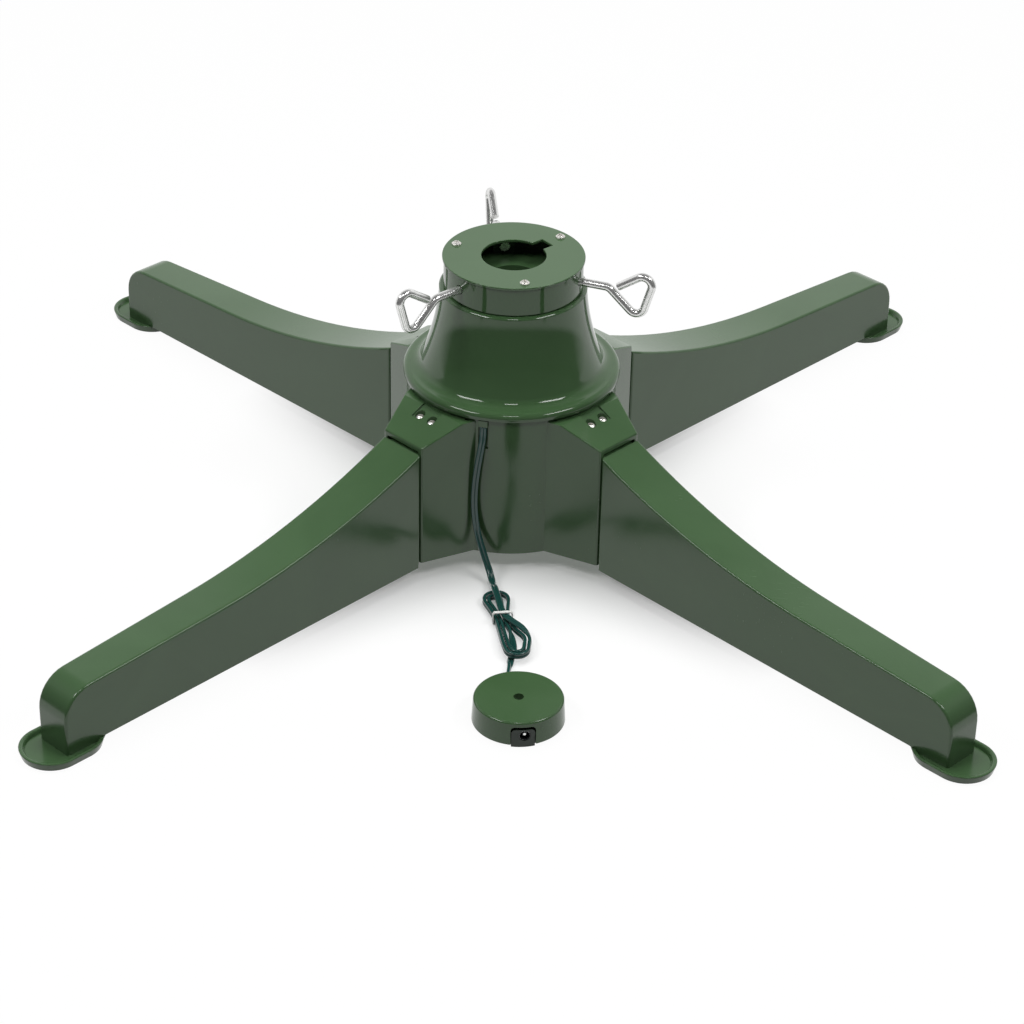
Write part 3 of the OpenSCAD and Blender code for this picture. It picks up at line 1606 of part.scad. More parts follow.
push_switch();
switch_plunger();
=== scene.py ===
"""Looks of the rotating tree stand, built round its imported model. Lengths are in metres."""
import json
import math

import bmesh
import bpy
import numpy as np
from mathutils import Matrix, Vector


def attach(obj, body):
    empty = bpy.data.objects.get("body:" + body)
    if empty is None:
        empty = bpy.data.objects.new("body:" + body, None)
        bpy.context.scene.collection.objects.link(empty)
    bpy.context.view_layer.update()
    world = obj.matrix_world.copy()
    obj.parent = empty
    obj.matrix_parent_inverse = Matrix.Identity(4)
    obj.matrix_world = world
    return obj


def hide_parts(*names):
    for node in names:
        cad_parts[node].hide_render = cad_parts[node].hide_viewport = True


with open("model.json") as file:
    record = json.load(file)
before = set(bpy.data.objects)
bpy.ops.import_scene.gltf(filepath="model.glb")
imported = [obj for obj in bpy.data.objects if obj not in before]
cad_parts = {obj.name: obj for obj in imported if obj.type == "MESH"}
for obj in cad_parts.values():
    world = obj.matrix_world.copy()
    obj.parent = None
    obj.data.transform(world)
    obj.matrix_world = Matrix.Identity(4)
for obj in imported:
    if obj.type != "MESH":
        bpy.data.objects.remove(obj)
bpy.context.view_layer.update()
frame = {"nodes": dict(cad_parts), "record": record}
nodes = frame["nodes"]
node_body = {n: b for b, ns in frame["record"]["behaviour"]["bodies"].items() for n in ns}

MM = 0.001
UP = Vector((0, 0, 1))

# ---- Camera -------------------------------------------------------------------------------------

FRAME_PX = 1024
FOCAL_PX = 3191.97
SENSOR = 36.0
CAMERA_DISTANCE = 2.2414
CAMERA_AZIMUTH = math.radians(-0.585)
CAMERA_ELEVATION = math.radians(32.34)
CAMERA_YAW = math.radians(0.0605)
CAMERA_PITCH = math.radians(0.0526)
CAMERA_ROLL = math.radians(1.206)
CAMERA_FAR = 60


def outward(azimuth, elevation):
    """Direction from the stand to a place round it; azimuth 0 is the front and turns to the right."""
    level = math.cos(elevation)
    return Vector((math.sin(azimuth) * level, -math.cos(azimuth) * level, math.sin(elevation)))


def right_and_top(forward):
    right = forward.cross(UP).normalized()
    return right, right.cross(forward)


def make_camera():
    """A long lens that looks at the stand's foot, turned a little by yaw, pitch and roll."""
    data = bpy.data.cameras.new("camera")
    data.sensor_width = SENSOR
    data.lens = SENSOR * FOCAL_PX / FRAME_PX
    data.clip_end = CAMERA_FAR
    camera = bpy.data.objects.new("camera", data)
    bpy.context.scene.collection.objects.link(camera)
    away = outward(CAMERA_AZIMUTH, CAMERA_ELEVATION)
    right, top = right_and_top(-away)
    forward = (math.tan(CAMERA_YAW) * right + math.tan(CAMERA_PITCH) * top - away).normalized()
    right, top = right_and_top(forward)
    c, s = math.cos(CAMERA_ROLL), math.sin(CAMERA_ROLL)
    right, top = c * right + s * top, c * top - s * right
    turn = Matrix((right, top, -forward)).transposed()
    camera.matrix_world = Matrix.Translation(away * CAMERA_DISTANCE) @ turn.to_4x4()
    bpy.context.scene.camera = camera


make_camera()
bpy.context.scene.view_settings.view_transform = "Standard"

# ---- Materials ----------------------------------------------------------------------------------


def axis_of(tree, vector, axis):
    """One coordinate, X, Y or Z, of a vector socket."""
    node = tree.nodes.new("ShaderNodeSeparateXYZ")
    tree.links.new(vector, node.inputs[0])
    return node.outputs[axis]


def combine(tree, operation, *values):
    """A math node over numbers and sockets."""
    node = tree.nodes.new("ShaderNodeMath")
    node.operation = operation
    for i, value in enumerate(values):
        if isinstance(value, (int, float)):
            node.inputs[i].default_value = value
        else:
            tree.links.new(value, node.inputs[i])
    return node.outputs[0]


class Surface:
    """A procedural material: one Principled shader, with noise for its colour, roughness and bump."""

    def __init__(self, name, **sockets):
        self.material = bpy.data.materials.new(name)
        self.material.use_nodes = True
        self.tree = self.material.node_tree
        self.shader = self.tree.nodes["Principled BSDF"]
        for key, value in sockets.items():
            self.shader.inputs[key.replace("_", " ")].default_value = value
        self.place = self.tree.nodes.new("ShaderNodeTexCoord").outputs["Object"]

    def link(self, a, b):
        self.tree.links.new(a, b)

    def stretched(self, scale):
        """The place on the object, scaled by axis, to draw a noise out."""
        node = self.tree.nodes.new("ShaderNodeMapping")
        node.inputs["Scale"].default_value = scale
        self.link(self.place, node.inputs["Vector"])
        return node.outputs[0]

    def noise(self, scale, detail=2.0, roughness=0.5, distortion=0.0, place=None):
        node = self.tree.nodes.new("ShaderNodeTexNoise")
        for key, value in (("Scale", scale), ("Detail", detail), ("Roughness", roughness),
                           ("Distortion", distortion)):
            node.inputs[key].default_value = value
        self.link(place or self.place, node.inputs["Vector"])
        return node.outputs[0]

    def remap(self, value, low, high, out_low=0, out_high=1):
        node = self.tree.nodes.new("ShaderNodeMapRange")
        for i, number in enumerate((low, high, out_low, out_high)):
            node.inputs[i + 1].default_value = number
        self.link(value, node.inputs[0])
        return node.outputs[0]

    def math(self, operation, a, b):
        return combine(self.tree, operation, a, b)

    def length(self):
        """Distance from the stand's axis."""
        flat = self.tree.nodes.new("ShaderNodeVectorMath")
        flat.operation = "MULTIPLY"
        flat.inputs[1].default_value = (1, 1, 0)
        self.link(self.place, flat.inputs[0])
        node = self.tree.nodes.new("ShaderNodeVectorMath")
        node.operation = "LENGTH"
        self.link(flat.outputs["Vector"], node.inputs[0])
        return node.outputs["Value"]

    def mixed(self, amount, a, b):
        """A colour between two, each a tuple or a socket."""
        node = self.tree.nodes.new("ShaderNodeMix")
        node.data_type = "RGBA"
        self.link(amount, node.inputs[0])
        for slot, value in ((6, a), (7, b)):
            if isinstance(value, tuple):
                node.inputs[slot].default_value = (*value, 1)
            else:
                self.link(value, node.inputs[slot])
        return node.outputs[2]

    def colour(self, value):
        self.link(value, self.shader.inputs["Base Color"])

    def rough(self, value):
        self.link(value, self.shader.inputs["Roughness"])

    def bump(self, height, distance, strength, below=None):
        """Lays a relief on the surface, over an earlier one where that is given."""
        node = self.tree.nodes.new("ShaderNodeBump")
        node.inputs["Strength"].default_value = strength
        node.inputs["Distance"].default_value = distance
        self.link(height, node.inputs["Height"])
        if below is not None:
            self.link(below, node.inputs["Normal"])
        self.link(node.outputs[0], self.shader.inputs["Normal"])
        return node.outputs[0]


# What lies above this height is handled and wiped more often, so it is smoother
POLISHED_Z = 0.118
POLISHED_SHARE = 0.4


def moulded_plastic(name, dark, light, rough_low, rough_high):
    """Glossy moulded plastic: flow marks in its colour, smudges in its gloss, and a polished upper part."""
    s = Surface(name, IOR=1.5)
    flow = s.noise(11, detail=3, roughness=0.55, distortion=1.2)
    s.colour(s.mixed(s.remap(flow, 0.32, 0.68), dark, light))
    prints = s.noise(26, detail=5, roughness=0.6, distortion=0.8)
    smudge = s.remap(s.math("MULTIPLY", prints, s.noise(7)), 0.12, 0.42)
    handled = s.remap(axis_of(s.tree, s.place, "Z"), POLISHED_Z - MM, POLISHED_Z, 1, POLISHED_SHARE)
    scratches = s.remap(s.noise(90, place=s.stretched((1, 14, 3))), 0.62, 0.72, 0, 0.06)
    smudged = s.math("ADD", s.math("MULTIPLY", smudge, rough_high - rough_low), rough_low)
    s.rough(s.math("ADD", s.math("MULTIPLY", handled, smudged), scratches))
    wavy = s.bump(s.noise(30, detail=1, roughness=0.4), 0.1 * MM, 0.2)
    s.bump(s.noise(1500), 0.01 * MM, 0.3, wavy)
    return s.material


def plated_steel(name, colour, tint, rough_low, rough_high, grain):
    """Plated or bare metal with small dull patches and a fine grain."""
    s = Surface(name, Metallic=0.85, Specular_Tint=(0.8, 0.8, 0.8, 1))
    patches = s.noise(160, detail=4, roughness=0.6, distortion=0.4)
    s.colour(s.mixed(s.remap(patches, 0.35, 0.7), colour, tint))
    s.rough(s.remap(s.noise(320, detail=4, roughness=0.65), 0.3, 0.75, rough_low, rough_high))
    s.bump(s.noise(grain, detail=3, roughness=0.6), 0.03 * MM, 0.4)
    return s.material


def fine_plastic(name, dark, light, rough, grain=900.0, ior=1.46):
    """Satin plastic or rubber with a fine grain."""
    s = Surface(name, IOR=ior)
    s.colour(s.mixed(s.noise(60, detail=3), dark, light))
    s.rough(s.remap(s.noise(200, detail=3), 0.3, 0.7, rough - 0.06, rough + 0.08))
    s.bump(s.noise(grain), 0.02 * MM, 0.4)
    return s.material


materials = {
    "green_plastic": moulded_plastic("green_plastic", (0.046, 0.098, 0.039), (0.053, 0.110, 0.045),
                                     0.13, 0.24),
    "dark_plastic": fine_plastic("dark_plastic", (0.012, 0.021, 0.014), (0.019, 0.030, 0.021), 0.42),
    "ivory_plastic": fine_plastic("ivory_plastic", (0.66, 0.64, 0.54), (0.74, 0.72, 0.63), 0.38),
    "jack_plastic": fine_plastic("jack_plastic", (0.009, 0.009, 0.01), (0.017, 0.017, 0.019), 0.3),
    "zinc_steel": plated_steel("zinc_steel", (0.88, 0.87, 0.84), (0.80, 0.78, 0.72), 0.3, 0.46, 700),
    "bright_steel": plated_steel("bright_steel", (0.88, 0.88, 0.87), (0.78, 0.78, 0.77), 0.17, 0.3, 420),
    "motor_steel": plated_steel("motor_steel", (0.52, 0.52, 0.5), (0.42, 0.42, 0.41), 0.3, 0.45, 900),
    "race_steel": plated_steel("race_steel", (0.6, 0.6, 0.6), (0.5, 0.5, 0.5), 0.15, 0.3, 1200),
    "brass_cage": plated_steel("brass_cage", (0.66, 0.48, 0.17), (0.55, 0.38, 0.13), 0.25, 0.4, 900),
    "circuit_board": fine_plastic("circuit_board", (0.012, 0.09, 0.035), (0.02, 0.13, 0.05), 0.4),
    "cord_sheath": fine_plastic("cord_sheath", (0.009, 0.052, 0.045), (0.013, 0.066, 0.057), 0.16,
                                ior=1.6),
    "lead_sheath": fine_plastic("lead_sheath", (0.24, 0.02, 0.02), (0.32, 0.03, 0.03), 0.4),
    "tie_plastic": fine_plastic("tie_plastic", (0.74, 0.74, 0.72), (0.84, 0.84, 0.82), 0.4),
}
node_slot = {s["node"]: s["material_slot"] for s in frame["record"]["subparts"]}
for node, obj in nodes.items():
    obj.data.materials.clear()
    obj.data.materials.append(materials[node_slot[node]])

# ---- Mesh helpers -------------------------------------------------------------------------------

FLAT_ANGLE = math.radians(28)
SHARP_ANGLE = math.radians(32)
MERGE_ANGLE = math.radians(0.6)
MERGE_GAP = 0.002 * MM
FLATS_WEIGHT = 80


def new_piece(name, mesh, body, slot, *replaced):
    """An object that rides on a body, takes a slot's material and may stand for CAD nodes."""
    obj = bpy.data.objects.new(name, mesh)
    bpy.context.scene.collection.objects.link(obj)
    mesh.materials.clear()
    mesh.materials.append(materials[slot])
    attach(obj, body)
    if replaced:
        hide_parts(*replaced)
    return obj


def baked(obj):
    """The object's mesh with its modifiers applied."""
    graph = bpy.context.evaluated_depsgraph_get()
    graph.update()
    mesh = bpy.data.meshes.new_from_object(obj.evaluated_get(graph))
    old = obj.data
    obj.modifiers.clear()
    obj.data = mesh
    bpy.data.meshes.remove(old)
    return mesh


def solid_mesh(node, merge=True):
    """A copy of a CAD node's mesh with its doubled vertices and, with merge, its flat triangles merged."""
    mesh = nodes[node].data.copy()
    if mesh.has_custom_normals:
        mesh.attributes.remove(mesh.attributes["custom_normal"])
    bm = bmesh.new()
    bm.from_mesh(mesh)
    bmesh.ops.remove_doubles(bm, verts=bm.verts, dist=MERGE_GAP)
    if merge:
        bmesh.ops.dissolve_limit(bm, angle_limit=MERGE_ANGLE, verts=bm.verts, edges=bm.edges,
                                 delimit={"NORMAL"})
    bm.to_mesh(mesh)
    bm.free()
    mesh.update()
    return mesh


def pick_edges(mesh, pick):
    """Weights the sharp convex edges that pick(middle, normal, normal) takes; middles are in millimetres."""
    bm = bmesh.new()
    bm.from_mesh(mesh)
    weight = bm.edges.layers.float.new("bevel_weight_edge")
    for edge in bm.edges:
        if len(edge.link_faces) == 2 and edge.is_convex and edge.calc_face_angle(0) > FLAT_ANGLE:
            middle = (edge.verts[0].co + edge.verts[1].co) / 2 / MM
            edge[weight] = float(pick(middle, *(f.normal for f in edge.link_faces)))
    bm.to_mesh(mesh)
    bm.free()


def rounded(node, name, width, segments=3, pick=None, merge=True):
    """Stands for a CAD node, with small rounds on its sharp edges or only on the picked ones."""
    obj = new_piece(name, solid_mesh(node, merge), node_body[node], node_slot[node], node)
    if pick:
        pick_edges(obj.data, pick)
    bevel = obj.modifiers.new("round", "BEVEL")
    bevel.width = width
    bevel.segments = segments
    bevel.limit_method = "WEIGHT" if pick else "ANGLE"
    bevel.angle_limit = FLAT_ANGLE
    bevel.miter_outer = "MITER_ARC"
    bevel.use_clamp_overlap = not pick
    mesh = baked(obj)
    for polygon in mesh.polygons:
        polygon.use_smooth = True
    mesh.set_sharp_from_angle(angle=SHARP_ANGLE)
    smooth = obj.modifiers.new("flats", "WEIGHTED_NORMAL")
    smooth.keep_sharp = True
    smooth.weight = FLATS_WEIGHT
    return obj


# ---- Cord ---------------------------------------------------------------------------------------
# The cord's route is the model's own, point for point, in millimetres. The cord lies from the strain relief
# down to the floor, through the loops of the hank, and out to the foot switch.

CORD_W = 4.8
CORD_T = 2.4
CORD_WEB = 0.62


def vec(x, y, z=0.0):
    return np.array([x, y, z], float)


def unit(v):
    return v / np.linalg.norm(v)


def ease(t):
    s = max(0.0, min(1.0, t))
    return s * s * (3 - 2 * s)


def eased(u, span):
    """From 0 to 1 along a span, given as its start and its length."""
    start, length = span
    return ease((u - start) / length)


def curve_point(p, i, t):
    """A point on the smooth curve from the i-th of the given points to the next."""
    a, b, c, d = p[i - 1], p[i], p[i + 1], p[i + 2]
    return 0.5 * (2 * b + (c - a) * t + (2 * a - 5 * b + 4 * c - d) * t * t
                  + (3 * b - a - 3 * c + d) * t ** 3)


def smooth_path(p, n):
    """Points on a smooth curve through the given ones, with straight ends."""
    last = len(p) - 1
    inner = [curve_point(p, i, k / n) for i in range(1, last - 1) for k in range(n)]
    return [p[0], *inner, p[last - 1], p[last]]


HUB_R = 71.5
DECK_Z = 118
GROOVE_DEEP = 1.3
GROOVE_PLAY = 0.4
RELIEF_H = 5
CORD_ANGLE = math.radians(-105.1)
exit_dir = vec(math.cos(CORD_ANGLE), math.sin(CORD_ANGLE))
exit_point = (HUB_R - GROOVE_DEEP + CORD_T / 2 + GROOVE_PLAY) * exit_dir + vec(0, 0, DECK_Z - RELIEF_H)
exit_second = exit_point - vec(0, 0, CORD_W)
DROP_ROUTE = [vec(*p) for p in (
    (-19.4, -70.7, 101), (-20.8, -71.4, 92), (-22.3, -71.5, 82), (-23.4, -71.2, 72), (-24, -71, 62),
    (-24, -71.3, 52), (-23.2, -72, 42), (-21.6, -73.6, 32.5), (-19.2, -76.4, 24), (-16.4, -80, 16.5),
    (-14.3, -82.9, 11.4), (-12.7, -85.7, 7.6), (-11.8, -88.2, 5.3))]
# Straight end of the drop as it comes into the hank
LAND = 0.8

hank_u = unit(vec(0.121, -0.9925))
hank_v = vec(-hank_u[1], hank_u[0])
hank_c = vec(-4, -136)
up = vec(0, 0, 1)
HANK_START, HANK_SIDE, HANK_END = -46, -1.7, 56
HANK_LOOPS = 2

# Heights of the lead-in as it lands and over the loops, of the loops, and of the lead-out flat and on edge
LEAD_Z0, LEAD_Z1 = 4.4, 7.6
LOOP_Z, LOOP_LIFT = 3.4, 2.3
OUT_Z, EDGE_Z = 1.4, 2.6

# The loops run between a top fold and a foot fold. A turn starts at the middle of the foot fold, and these
# are the shares of it where its left run and its right run start and end. The loops start where a right run
# ends, and end where one starts.
TOP_U, FOOT_U = -23.6, 38.5
LEFT_FROM, LEFT_TO, RIGHT_FROM, RIGHT_TO = 0.15, 0.35, 0.65, 0.85
LOOPS_FROM = RIGHT_TO - 1
LOOPS_TO = HANK_LOOPS - 1 + RIGHT_FROM

# Offsets of the first turn's runs from the hank's axis: at the top fold, under the tie and at the foot fold.
# Each later turn lies a pitch farther in.
TOP_LEFT, TOP_RIGHT = -10, 7
WAIST_LEFT, WAIST_RIGHT = -4.6, 4.1
FOOT_LEFT, FOOT_RIGHT = -2.8, 12.8
RUN_PITCH, FOLD_PITCH, TOP_RIGHT_PITCH = 2.9, 3.2, 5.2
WAIST_T = -TOP_U / (FOOT_U - TOP_U)
# How far a right run bulges between the tie and the foot fold, and how much the bulge leans to the foot
BELLY, BELLY_BEND = 3.4, 1.6

# Spans along the hank, each as its start and its length. In the first the loops rise. In the others the
# lead-in climbs, comes to the hank's axis, joins the loops' line and turns on edge.
LOOPS_RISE = (8, 26)
LEAD_CLIMB = (HANK_START + 4.4, 8)
LEAD_CENTRE = (HANK_START + 4.4, 40)
LEAD_JOIN = (-6, 22)
LEAD_TURN = (14, 16)

# Spans in which the lead-out turns flat and on edge again, and those in which it moves aside, with how far
OUT_FLAT, OUT_EDGE = (12, 12), (46, 7)
OUT_CENTRE, OUT_CENTRE_V = (TOP_U, 22), 1.2
OUT_SWING, OUT_SWING_V = (1, 17), 2.8
OUT_RETURN, OUT_RETURN_V = (28, 18), 3.8
OUT_DRIFT_FROM, OUT_DRIFT = 44, 0.23


def hank_at(u, v, z):
    """A place in the hank: u runs towards the foot switch, v to the photograph's right, z up."""
    return hank_c + u * hank_u + v * hank_v + vec(0, 0, z)


def top_side(n, side):
    """Offset from the hank's axis, near the top fold, of the run on a side in turn n."""
    if side < 0:
        return TOP_LEFT + RUN_PITCH * (n - LEFT_TO)
    return TOP_RIGHT - TOP_RIGHT_PITCH * (n - RIGHT_FROM)


def foot_side(n, side):
    """The same near the foot fold."""
    if side < 0:
        return FOOT_LEFT + FOLD_PITCH * (n - LEFT_FROM)
    return FOOT_RIGHT - FOLD_PITCH * (n - LOOPS_FROM)


def waist_side(n, side):
    """The same under the tie."""
    if side < 0:
        return WAIST_LEFT + RUN_PITCH * (n - (LEFT_FROM + LEFT_TO) / 2)
    return WAIST_RIGHT - RUN_PITCH * (n - (RIGHT_FROM + RIGHT_TO) / 2)


def loop_height(u):
    """Height of the loops, which rise towards the foot fold."""
    return LOOP_Z + LOOP_LIFT * eased(u, LOOPS_RISE)


def run_v(n, t, side):
    """Offset of a run beside the hank's axis; t goes from the top fold to the foot fold."""
    v0, v1 = top_side(n, side), foot_side(n, side)
    pull = math.sin(math.pi * max(t, 0) ** (math.log(0.5) / math.log(WAIST_T)))
    belly = 0.0
    if side > 0 and t >= WAIST_T:
        belly = math.sin(math.pi * ((t - WAIST_T) / (1 - WAIST_T)) ** BELLY_BEND)
    pinch = v0 + (v1 - v0) * WAIST_T - waist_side(n, side)
    return v0 + (v1 - v0) * t - pinch * pull ** 2 + BELLY * belly ** 2


def fold(at, low, high, degrees, way):
    """A point on a half turn between the loops' two sides."""
    a = math.radians(degrees)
    return at + way * (high - low) / 2 * math.cos(a), (low + high) / 2 + (high - low) / 2 * math.sin(a)


def loop_uv(n):
    """Place on the loops after n turns, counted from the foot of the hank."""
    q, span = n - math.floor(n), FOOT_U - TOP_U
    if q < LEFT_FROM:
        return fold(FOOT_U, foot_side(n, -1), foot_side(n, 1), -90 * q / LEFT_FROM, 1)
    if q < LEFT_TO:
        t = 1 - (q - LEFT_FROM) / (LEFT_TO - LEFT_FROM)
        return TOP_U + span * t, run_v(n, t, -1)
    if q < RIGHT_FROM:
        angle = 180 * (q - 0.5) / (RIGHT_FROM - LEFT_TO)
        return fold(TOP_U, top_side(n, -1), top_side(n, 1), angle, -1)
    if q < RIGHT_TO:
        t = (q - RIGHT_FROM) / (RIGHT_TO - RIGHT_FROM)
        return TOP_U + span * t, run_v(n, t, 1)
    return fold(FOOT_U, foot_side(n, -1), foot_side(n, 1), 90 * (1 - q) / (1 - RIGHT_TO), 1)


def lead_in(t):
    """Centre and width direction of the stretch that lies over the loops."""
    u = HANK_START + (FOOT_U - HANK_START) * t
    turn = eased(u, LEAD_TURN)
    joined = run_v(LOOPS_FROM, (u - TOP_U) / (FOOT_U - TOP_U), 1) * eased(u, LEAD_JOIN)
    v = joined + HANK_SIDE * (1 - eased(u, LEAD_CENTRE))
    z = LEAD_Z0 + (LEAD_Z1 - LEAD_Z0) * eased(u, LEAD_CLIMB) + (loop_height(FOOT_U) - LEAD_Z1) * turn
    a = math.pi / 2 * turn
    return hank_at(u, v, z), hank_v * math.cos(a) - up * math.sin(a)


def loop_ring(n):
    """Centre and width direction of the loops after n turns."""
    u, v = loop_uv(n)
    return hank_at(u, v, loop_height(u)), -up


def lead_out(t):
    """Centre and width direction of the stretch that leaves under the loops."""
    u = TOP_U + (HANK_END - TOP_U) * t
    out_v = top_side(LOOPS_TO, 1)
    flat, edge = eased(u, OUT_FLAT), eased(u, OUT_EDGE)
    v = (out_v + (OUT_CENTRE_V - out_v) * eased(u, OUT_CENTRE) + OUT_SWING_V * eased(u, OUT_SWING)
         - OUT_RETURN_V * eased(u, OUT_RETURN) - OUT_DRIFT * max(0, u - OUT_DRIFT_FROM))
    z = LOOP_Z + (OUT_Z - LOOP_Z) * flat + (EDGE_Z - OUT_Z) * edge
    a = math.pi / 2 * (flat - edge)
    return hank_at(u, v, z), hank_v * math.sin(a) - up * math.cos(a)


GLAND_ANGLE = math.radians(104)
GLAND_REACH = 34
GLAND_Z = 4.2
SWITCH = vec(6.3, -244.3)
gland_dir = vec(math.cos(GLAND_ANGLE), math.sin(GLAND_ANGLE))
gland_face = SWITCH + vec(0, 0, GLAND_Z) + GLAND_REACH * gland_dir
TAIL_ROUTE = [vec(-0.4, -200.4, 3.2), vec(-1.3, -203.4, 3.8)]

LOOP_STEPS = 120
LEAD_STEPS = 63
ROUTE_STEPS = 6
SPACING = 0.9
SOFTEN = 2.6


def evened(rings):
    """The rings again at even spacing along the cord, with the corners between stretches softened."""
    centres = np.array([r[0] for r in rings])
    wides = np.array([r[1] for r in rings])
    run = np.concatenate([[0], np.cumsum(np.linalg.norm(np.diff(centres, axis=0), axis=1))])
    places = np.linspace(0, run[-1], int(run[-1] / SPACING) + 1)
    reach = int(2.5 * SOFTEN / SPACING)
    weights = np.exp(-0.5 * (np.arange(-reach, reach + 1) * SPACING / SOFTEN) ** 2)
    weights /= weights.sum()

    def blurred(values):
        even = np.array([np.interp(places, run, values[:, k]) for k in range(3)]).T
        before = 2 * even[0] - even[1:reach + 1][::-1]
        after = 2 * even[-1] - even[-reach - 1:-1][::-1]
        longer = np.vstack([before, even, after])
        return np.array([np.convolve(longer[:, k], weights, mode="valid") for k in range(3)]).T

    return list(zip(blurred(centres), blurred(wides)))


def cord_rings():
    """Centre and width direction all along the cord, from the strain relief to the foot switch."""
    landing = [hank_at(u, HANK_SIDE, LEAD_Z0) for u in (HANK_START - LAND, HANK_START)]
    drop = smooth_path([exit_point, exit_second, *DROP_ROUTE, *landing], ROUTE_STEPS)
    side = np.cross(up, exit_dir)
    half = (len(drop) - 1) / 2
    drop = [(p, side + (hank_v - side) * ease((i - half) / (half - ROUTE_STEPS))) for i, p in enumerate(drop)]
    turns = LOOPS_TO - LOOPS_FROM
    loops = [loop_ring(LOOPS_FROM + i / LOOP_STEPS) for i in range(round(LOOP_STEPS * turns) + 1)]
    hank = ([lead_in(i / LEAD_STEPS) for i in range(LEAD_STEPS)] + loops
            + [lead_out(i / LEAD_STEPS) for i in range(1, LEAD_STEPS + 1)])
    start, before = hank[-1][0], hank[-2][0]
    tail = smooth_path([start, start + unit(start - before) * CORD_W, *TAIL_ROUTE,
                        gland_face + gland_dir * CORD_W, gland_face], ROUTE_STEPS)
    return evened(drop[:-1] + hank[:-1] + [(p, -up) for p in tail])


def twin_outline(steps=7):
    """The twin cord's section: two round cores with a thin web between, as (across, up) points."""
    lobe = CORD_T / 2
    reach = math.pi - math.asin(CORD_WEB / lobe)
    right = [(CORD_W / 2 - lobe + lobe * math.cos(reach * i / steps), lobe * math.sin(reach * i / steps))
             for i in range(steps + 1)]
    top = right + [(-x, y) for x, y in reversed(right)]
    return top + [(x, -y) for x, y in reversed(top[1:-1])]


def tube_mesh(name, rings, outline):
    """A closed tube of the outline swept along (centre, width direction) rings, in millimetres."""
    centres = [r[0] for r in rings]
    verts, count = [], len(outline)
    for i, (centre, wide) in enumerate(rings):
        along = unit(centres[min(i + 1, len(rings) - 1)] - centres[max(i - 1, 0)])
        across = unit(wide - along * (wide @ along))
        normal = np.cross(across, along)
        verts += [tuple((centre + across * x + normal * y) * MM) for x, y in outline]
    faces = [(i * count + k, i * count + (k + 1) % count, (i + 1) * count + (k + 1) % count,
              (i + 1) * count + k) for i in range(len(rings) - 1) for k in range(count)]
    faces.append(tuple(reversed(range(count))))
    faces.append(tuple((len(rings) - 1) * count + k for k in range(count)))
    mesh = bpy.data.meshes.new(name)
    mesh.from_pydata(verts, [], faces)
    for polygon in mesh.polygons:
        polygon.use_smooth = len(polygon.vertices) == 4
    mesh.update()
    return mesh


rings = cord_rings()
cord = new_piece("cord_twin", tube_mesh("cord_twin", rings, twin_outline()), "base", "cord_sheath",
                 "cord_drop", "cord_hank", "cord_tail")

# ---- Pieces -------------------------------------------------------------------------------------


def paint(obj, slot, test):
    """Gives the faces whose centre passes the test another slot's material."""
    obj.data.materials.append(materials[slot])
    index = len(obj.data.materials) - 1
    for polygon in obj.data.polygons:
        if test(polygon.center):
            polygon.material_index = index


# Sizes of the solids whose edges are rounded or whose faces are painted, in millimetres
ARM_REACH, ARM_HALF, LEG_HALF = 102, 18, 13.7
BELL_TOP, BELL_TOP_R, BELL_CHAMFER = 184, 49.8, 1
COLLAR_R = 47
KEYHOLE_REACH = 32
PAD_TOP = 5.6
CAP_TOP, CAP_TOP_R, CAP_CHAMFER = 18.4, 29, 0.35
RELIEF_FACE_R = 67
JACK_ANGLE = math.radians(-84)
JACK_SIDE, JACK_Z, JACK_PIN_R = 1.0, 8.5, 1.4
# How far short of those sizes the middle of an edge may lie
SLACK = 0.1
# Parts of a face's normal: a flank's across its arm or leg, an upper face's up, and a lower face's
FLANK, UPWARD, DOWNWARD = 0.9, 0.6, -0.3


def in_jack(c):
    """Whether a point, in metres, is on the pin at the jack's axis."""
    x, y, z = c.x / MM - SWITCH[0], c.y / MM - SWITCH[1], c.z / MM
    side = -x * math.sin(JACK_ANGLE) + y * math.cos(JACK_ANGLE)
    return math.hypot(side - JACK_SIDE, z - JACK_Z) < JACK_PIN_R


def from_axis(at, centre=(0, 0)):
    return math.hypot(at.x - centre[0], at.y - centre[1])


def on_diagonal(v, at):
    """A vector's parts along and across the diagonal arm beside a place."""
    sx, sy = math.copysign(1, at.x), math.copysign(1, at.y)
    return (v.x * sx + v.y * sy) / math.sqrt(2), (v.y * sx - v.x * sy) / math.sqrt(2)


def flank_edge(at, *normals):
    """Between an arm's or a leg's flank and its top or its end."""
    flanks = [abs(on_diagonal(n, at)[1]) > FLANK for n in normals]
    return flanks[0] != flanks[1] and min(n.z for n in normals) > DOWNWARD


def arm_edge(at, *normals):
    """Along an arm's two flanks, or round its open end."""
    along, across = on_diagonal(at, at)
    end_lip = max(n.z for n in normals) > UPWARD and max(on_diagonal(n, at)[0] for n in normals) > FLANK
    return (flank_edge(at, *normals) and abs(across) > ARM_HALF - SLACK and along > HUB_R
            or end_lip and along > ARM_REACH - SLACK)


def leg_edge(at, *normals):
    """Along a leg's two flanks, from the hub to the nose."""
    along, across = on_diagonal(at, at)
    return flank_edge(at, *normals) and abs(across) > LEG_HALF - SLACK and along > ARM_REACH


def on_chamfer(at, top, radius, chamfer, centre=(0, 0)):
    """Whether an edge's middle is on the chamfer round a round piece's top."""
    return at.z > top - chamfer - SLACK and from_axis(at, centre) > radius - chamfer - SLACK


def bell_edge(at, *normals):
    return on_chamfer(at, BELL_TOP, BELL_TOP_R, BELL_CHAMFER)


def collar_edge(at, *normals):
    return from_axis(at) > COLLAR_R - SLACK


def plate_edge(at, *normals):
    return from_axis(at) > COLLAR_R - SLACK or from_axis(at) < KEYHOLE_REACH


